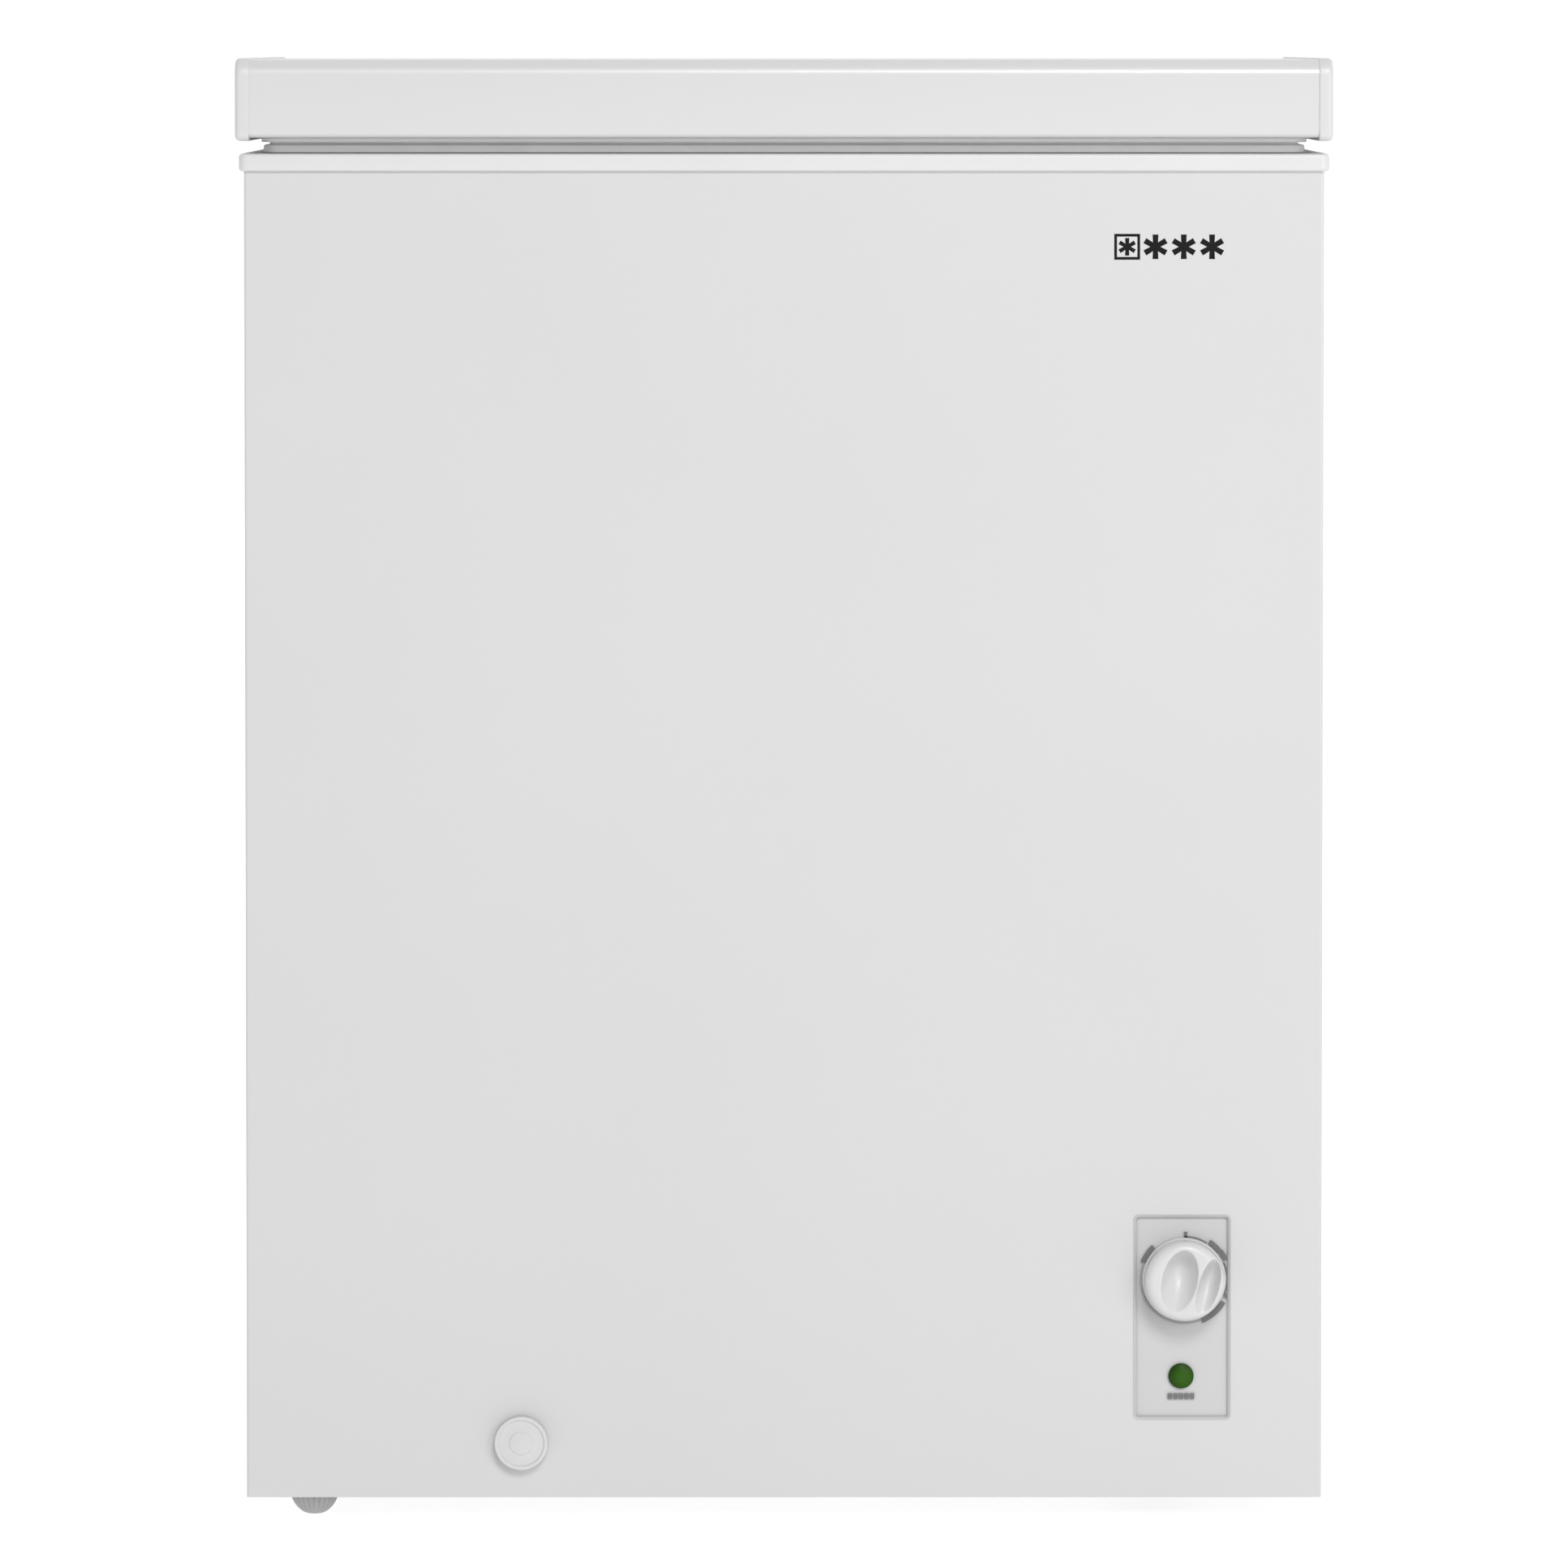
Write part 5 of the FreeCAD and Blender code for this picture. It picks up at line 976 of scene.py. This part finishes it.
DIAL = [band(133, 158, 24.7, 27.4), band(86, 90, 24.4, 27.8), band(58, 89, 24.3, 25.3),
        band(38, 56, 25.0, 27.8), band(25, 38, 25.4, 28.2), band(-19, 23, 24.4, 25.5),
        band(-24, -19, 25.0, 28.0), band(-67, -30, 25.0, 27.9)]
# Painted shadow, not print: pale grey bands round the knob's lower left stand for the knob's shadow and the
# gap under it.
KNOB_SHADOW_BANDS = [band(158, 205, 24.3, 25.7), band(205, 293, 24.8, 26.2)]
piece("dial_print", *join(*DIAL), panel_ink, "cabinet", "black_plastic")
piece("knob_shadow_print", *join(*KNOB_SHADOW_BANDS), knob_shadow_ink, "cabinet", "grey_plastic")


def bars(middle_x, middle_z, widths, height, gap, front_y):
    """A row of upright bars."""
    left = middle_x - (sum(widths) + gap * (len(widths) - 1)) / 2
    made = []
    for width in widths:
        made.append(slab([(left, middle_z - height / 2), (left + width, middle_z - height / 2),
                          (left + width, middle_z + height / 2), (left, middle_z + height / 2)], front_y))
        left += width + gap
    return made


lens_low, lens_high = box_mm("indicator_lens")
UNDER_LENS = ((lens_low.x + lens_high.x) / 2, lens_low.z - 4.5)
BAR_WIDTH = 2.7
BAR_HEIGHT = 3.4
BAR_GAP = 0.5
piece("lens_print", *join(*bars(*UNDER_LENS, [BAR_WIDTH] * 5, BAR_HEIGHT, BAR_GAP, PRINT_Y)), panel_ink,
      "cabinet", "black_plastic")
print("bands", len(DIAL) + len(KNOB_SHADOW_BANDS))

# %% The four-star sign
SHELL_LOW, SHELL_HIGH = box_mm("outer_shell")
SIGN_MIDDLE = (SHELL_HIGH.x - 89.5, SHELL_HIGH.z - 51.5)
STAR_SIZE = 14.2
STAR_PITCH = 16.4
STAR_BOXED = 0.72
STAR_ARM = 0.12
BOX_SIZE = 15.0
BOX_LINE = 1.6


def star(middle_x, middle_z, size):
    """A star of six arms: three bars crossed at sixty degrees, as one outline."""
    middle = Vector((middle_x, middle_z))
    half = size * STAR_ARM
    inner = half / math.sin(math.radians(30)) * 0.87
    outline = []
    for index in range(6):
        angle = math.radians(90 + 60 * index)
        along = Vector((math.cos(angle), math.sin(angle)))
        side = Vector((-along.y, along.x))
        outline.append(tuple(middle + along * size / 2 - side * half))
        outline.append(tuple(middle + along * size / 2 + side * half))
        notch = angle + math.radians(30)
        outline.append((middle_x + inner * math.cos(notch), middle_z + inner * math.sin(notch)))
    return slab(outline, SHELL_LOW.y)


def square_frame(middle_x, middle_z, size, line):
    """A thin square outline round the first star, as four strips."""
    half = size / 2
    strips = [(-half, -half, half, -half + line), (-half, half - line, half, half),
              (-half, -half + line, -half + line, half - line),
              (half - line, -half + line, half, half - line)]
    made = []
    for x0, z0, x1, z1 in strips:
        made.append(slab([(middle_x + x0, middle_z + z0), (middle_x + x1, middle_z + z0),
                          (middle_x + x1, middle_z + z1), (middle_x + x0, middle_z + z1)], SHELL_LOW.y))
    return made


star_places = [SIGN_MIDDLE[0] + (index - 1.5) * STAR_PITCH for index in range(4)]
star_sizes = [STAR_SIZE * STAR_BOXED] + [STAR_SIZE] * 3
SIGN = [star(x, SIGN_MIDDLE[1], size) for x, size in zip(star_places, star_sizes)]
SIGN += square_frame(star_places[0], SIGN_MIDDLE[1], BOX_SIZE, BOX_LINE)
piece("freezer_sign", *join(*SIGN), badge_ink, "cabinet", "black_plastic")
print("stars", len(star_places))

# %% [markdown]
# ## Floor, light and camera
#
# White appliances are shown on white with soft light, so that gentle shadows alone draw
# their edges. The studio is bright behind the freezer and less than half as bright in front,
# which leaves room for two large lamps to shape it. One stands near, to the right at the
# lid's height, low enough to shine into the gap under the lid. The other is far away, high
# and a little to the right: it lights the front evenly, puts a bright line along the lid's
# rounded edge, and throws short shadows down and to the left. The floor is a light table: it
# glows, so the shadow under the cabinet stays pale.

# %% Stage
SKY_BEHIND = 1.06
SKY_AHEAD = 0.44
bpy.context.scene.view_settings.view_transform = "Standard"


def make_sky():
    """An even white world that is dimmer on the camera's side of the freezer."""
    world = bpy.data.worlds.new("studio")
    world.use_nodes = True
    graph = Graph(world.node_tree)
    way = graph.node("ShaderNodeTexCoord").out("Generated")
    backward = graph.node("ShaderNodeSeparateXYZ", {}, {"Vector": way}).out("Y")
    behind = (backward * 2.5 + 0.5).clipped()
    strength = SKY_AHEAD + behind * (SKY_BEHIND - SKY_AHEAD)
    sky = graph.node("ShaderNodeBackground", {}, {"Color": (1.0, 1.0, 1.0, 1.0), "Strength": strength})
    graph.node("ShaderNodeOutputWorld", {}, {"Surface": sky.out("Background")})
    bpy.context.scene.world = world


def make_floor():
    finish = Finish("studio_floor", Specular_IOR_Level=0.2, Emission_Strength=0.85)
    cloud = finish.noise(700, 2)
    color = finish.mix(cloud, grey(0.36), grey(0.38))
    material = finish.drive(Base_Color=color, Roughness=0.8 + cloud * 0.1,
                            Emission_Color=finish.mix(cloud, grey(0.98), grey(1.0)))
    mesh = bpy.data.meshes.new("studio_floor")
    reach = 30.0
    mesh.from_pydata([(-reach, -reach, 0), (reach, -reach, 0), (reach, reach, 0), (-reach, reach, 0)], [],
                     [(0, 1, 2, 3)])
    mesh.materials.append(material)
    floor = bpy.data.objects.new("studio_floor", mesh)
    bpy.context.scene.collection.objects.link(floor)


def aim(thing, target):
    thing.rotation_euler = (Vector(target) - thing.location).to_track_quat("-Z", "Y").to_euler()


def add_lamp(name, place, target, size, power):
    light = bpy.data.lights.new(name, "AREA")
    light.shape = "DISK"
    light.size = size
    light.energy = power
    lamp = bpy.data.objects.new(name, light)
    lamp.location = place
    bpy.context.scene.collection.objects.link(lamp)
    aim(lamp, target)


make_sky()
make_floor()
add_lamp("key", (1.5, -2.2, 0.9), (0.0, -0.27, 0.45), 1.2, 13.0)
add_lamp("overhead", (1.1, -5.6, 4.6), (0.0, -0.27, 0.5), 2.6, 222.0)
print("stage: one floor, two lamps, a soft sky")

# %% [markdown]
# ## Camera
#
# A long lens far back keeps the front square, as a catalogue picture does. It stands level
# with the lid, whose top is therefore seen edge-on, and looks slightly down.

# %% Camera
FRONT_PLANE = SHELL_LOW.y * MM
CAMERA_DISTANCE = 7.0
CAMERA_HEIGHT = 0.86
AXIS_HEIGHT = 0.50
FRAME_WIDTH = 0.9092
FRAME_CENTRE = 0.4291
SENSOR = 36.0

lens_camera = bpy.data.cameras.new("front_camera")
lens_camera.sensor_width = SENSOR
lens_camera.lens = SENSOR * CAMERA_DISTANCE / FRAME_WIDTH
lens_camera.shift_y = (FRAME_CENTRE - AXIS_HEIGHT) / FRAME_WIDTH
lens_camera.clip_end = 100.0
camera = bpy.data.objects.new("front_camera", lens_camera)
camera.location = (0.0, FRONT_PLANE - CAMERA_DISTANCE, CAMERA_HEIGHT)
bpy.context.scene.collection.objects.link(camera)
aim(camera, (0.0, FRONT_PLANE, AXIS_HEIGHT))
bpy.context.scene.camera = camera
print("lens in mm:", round(lens_camera.lens, 1))
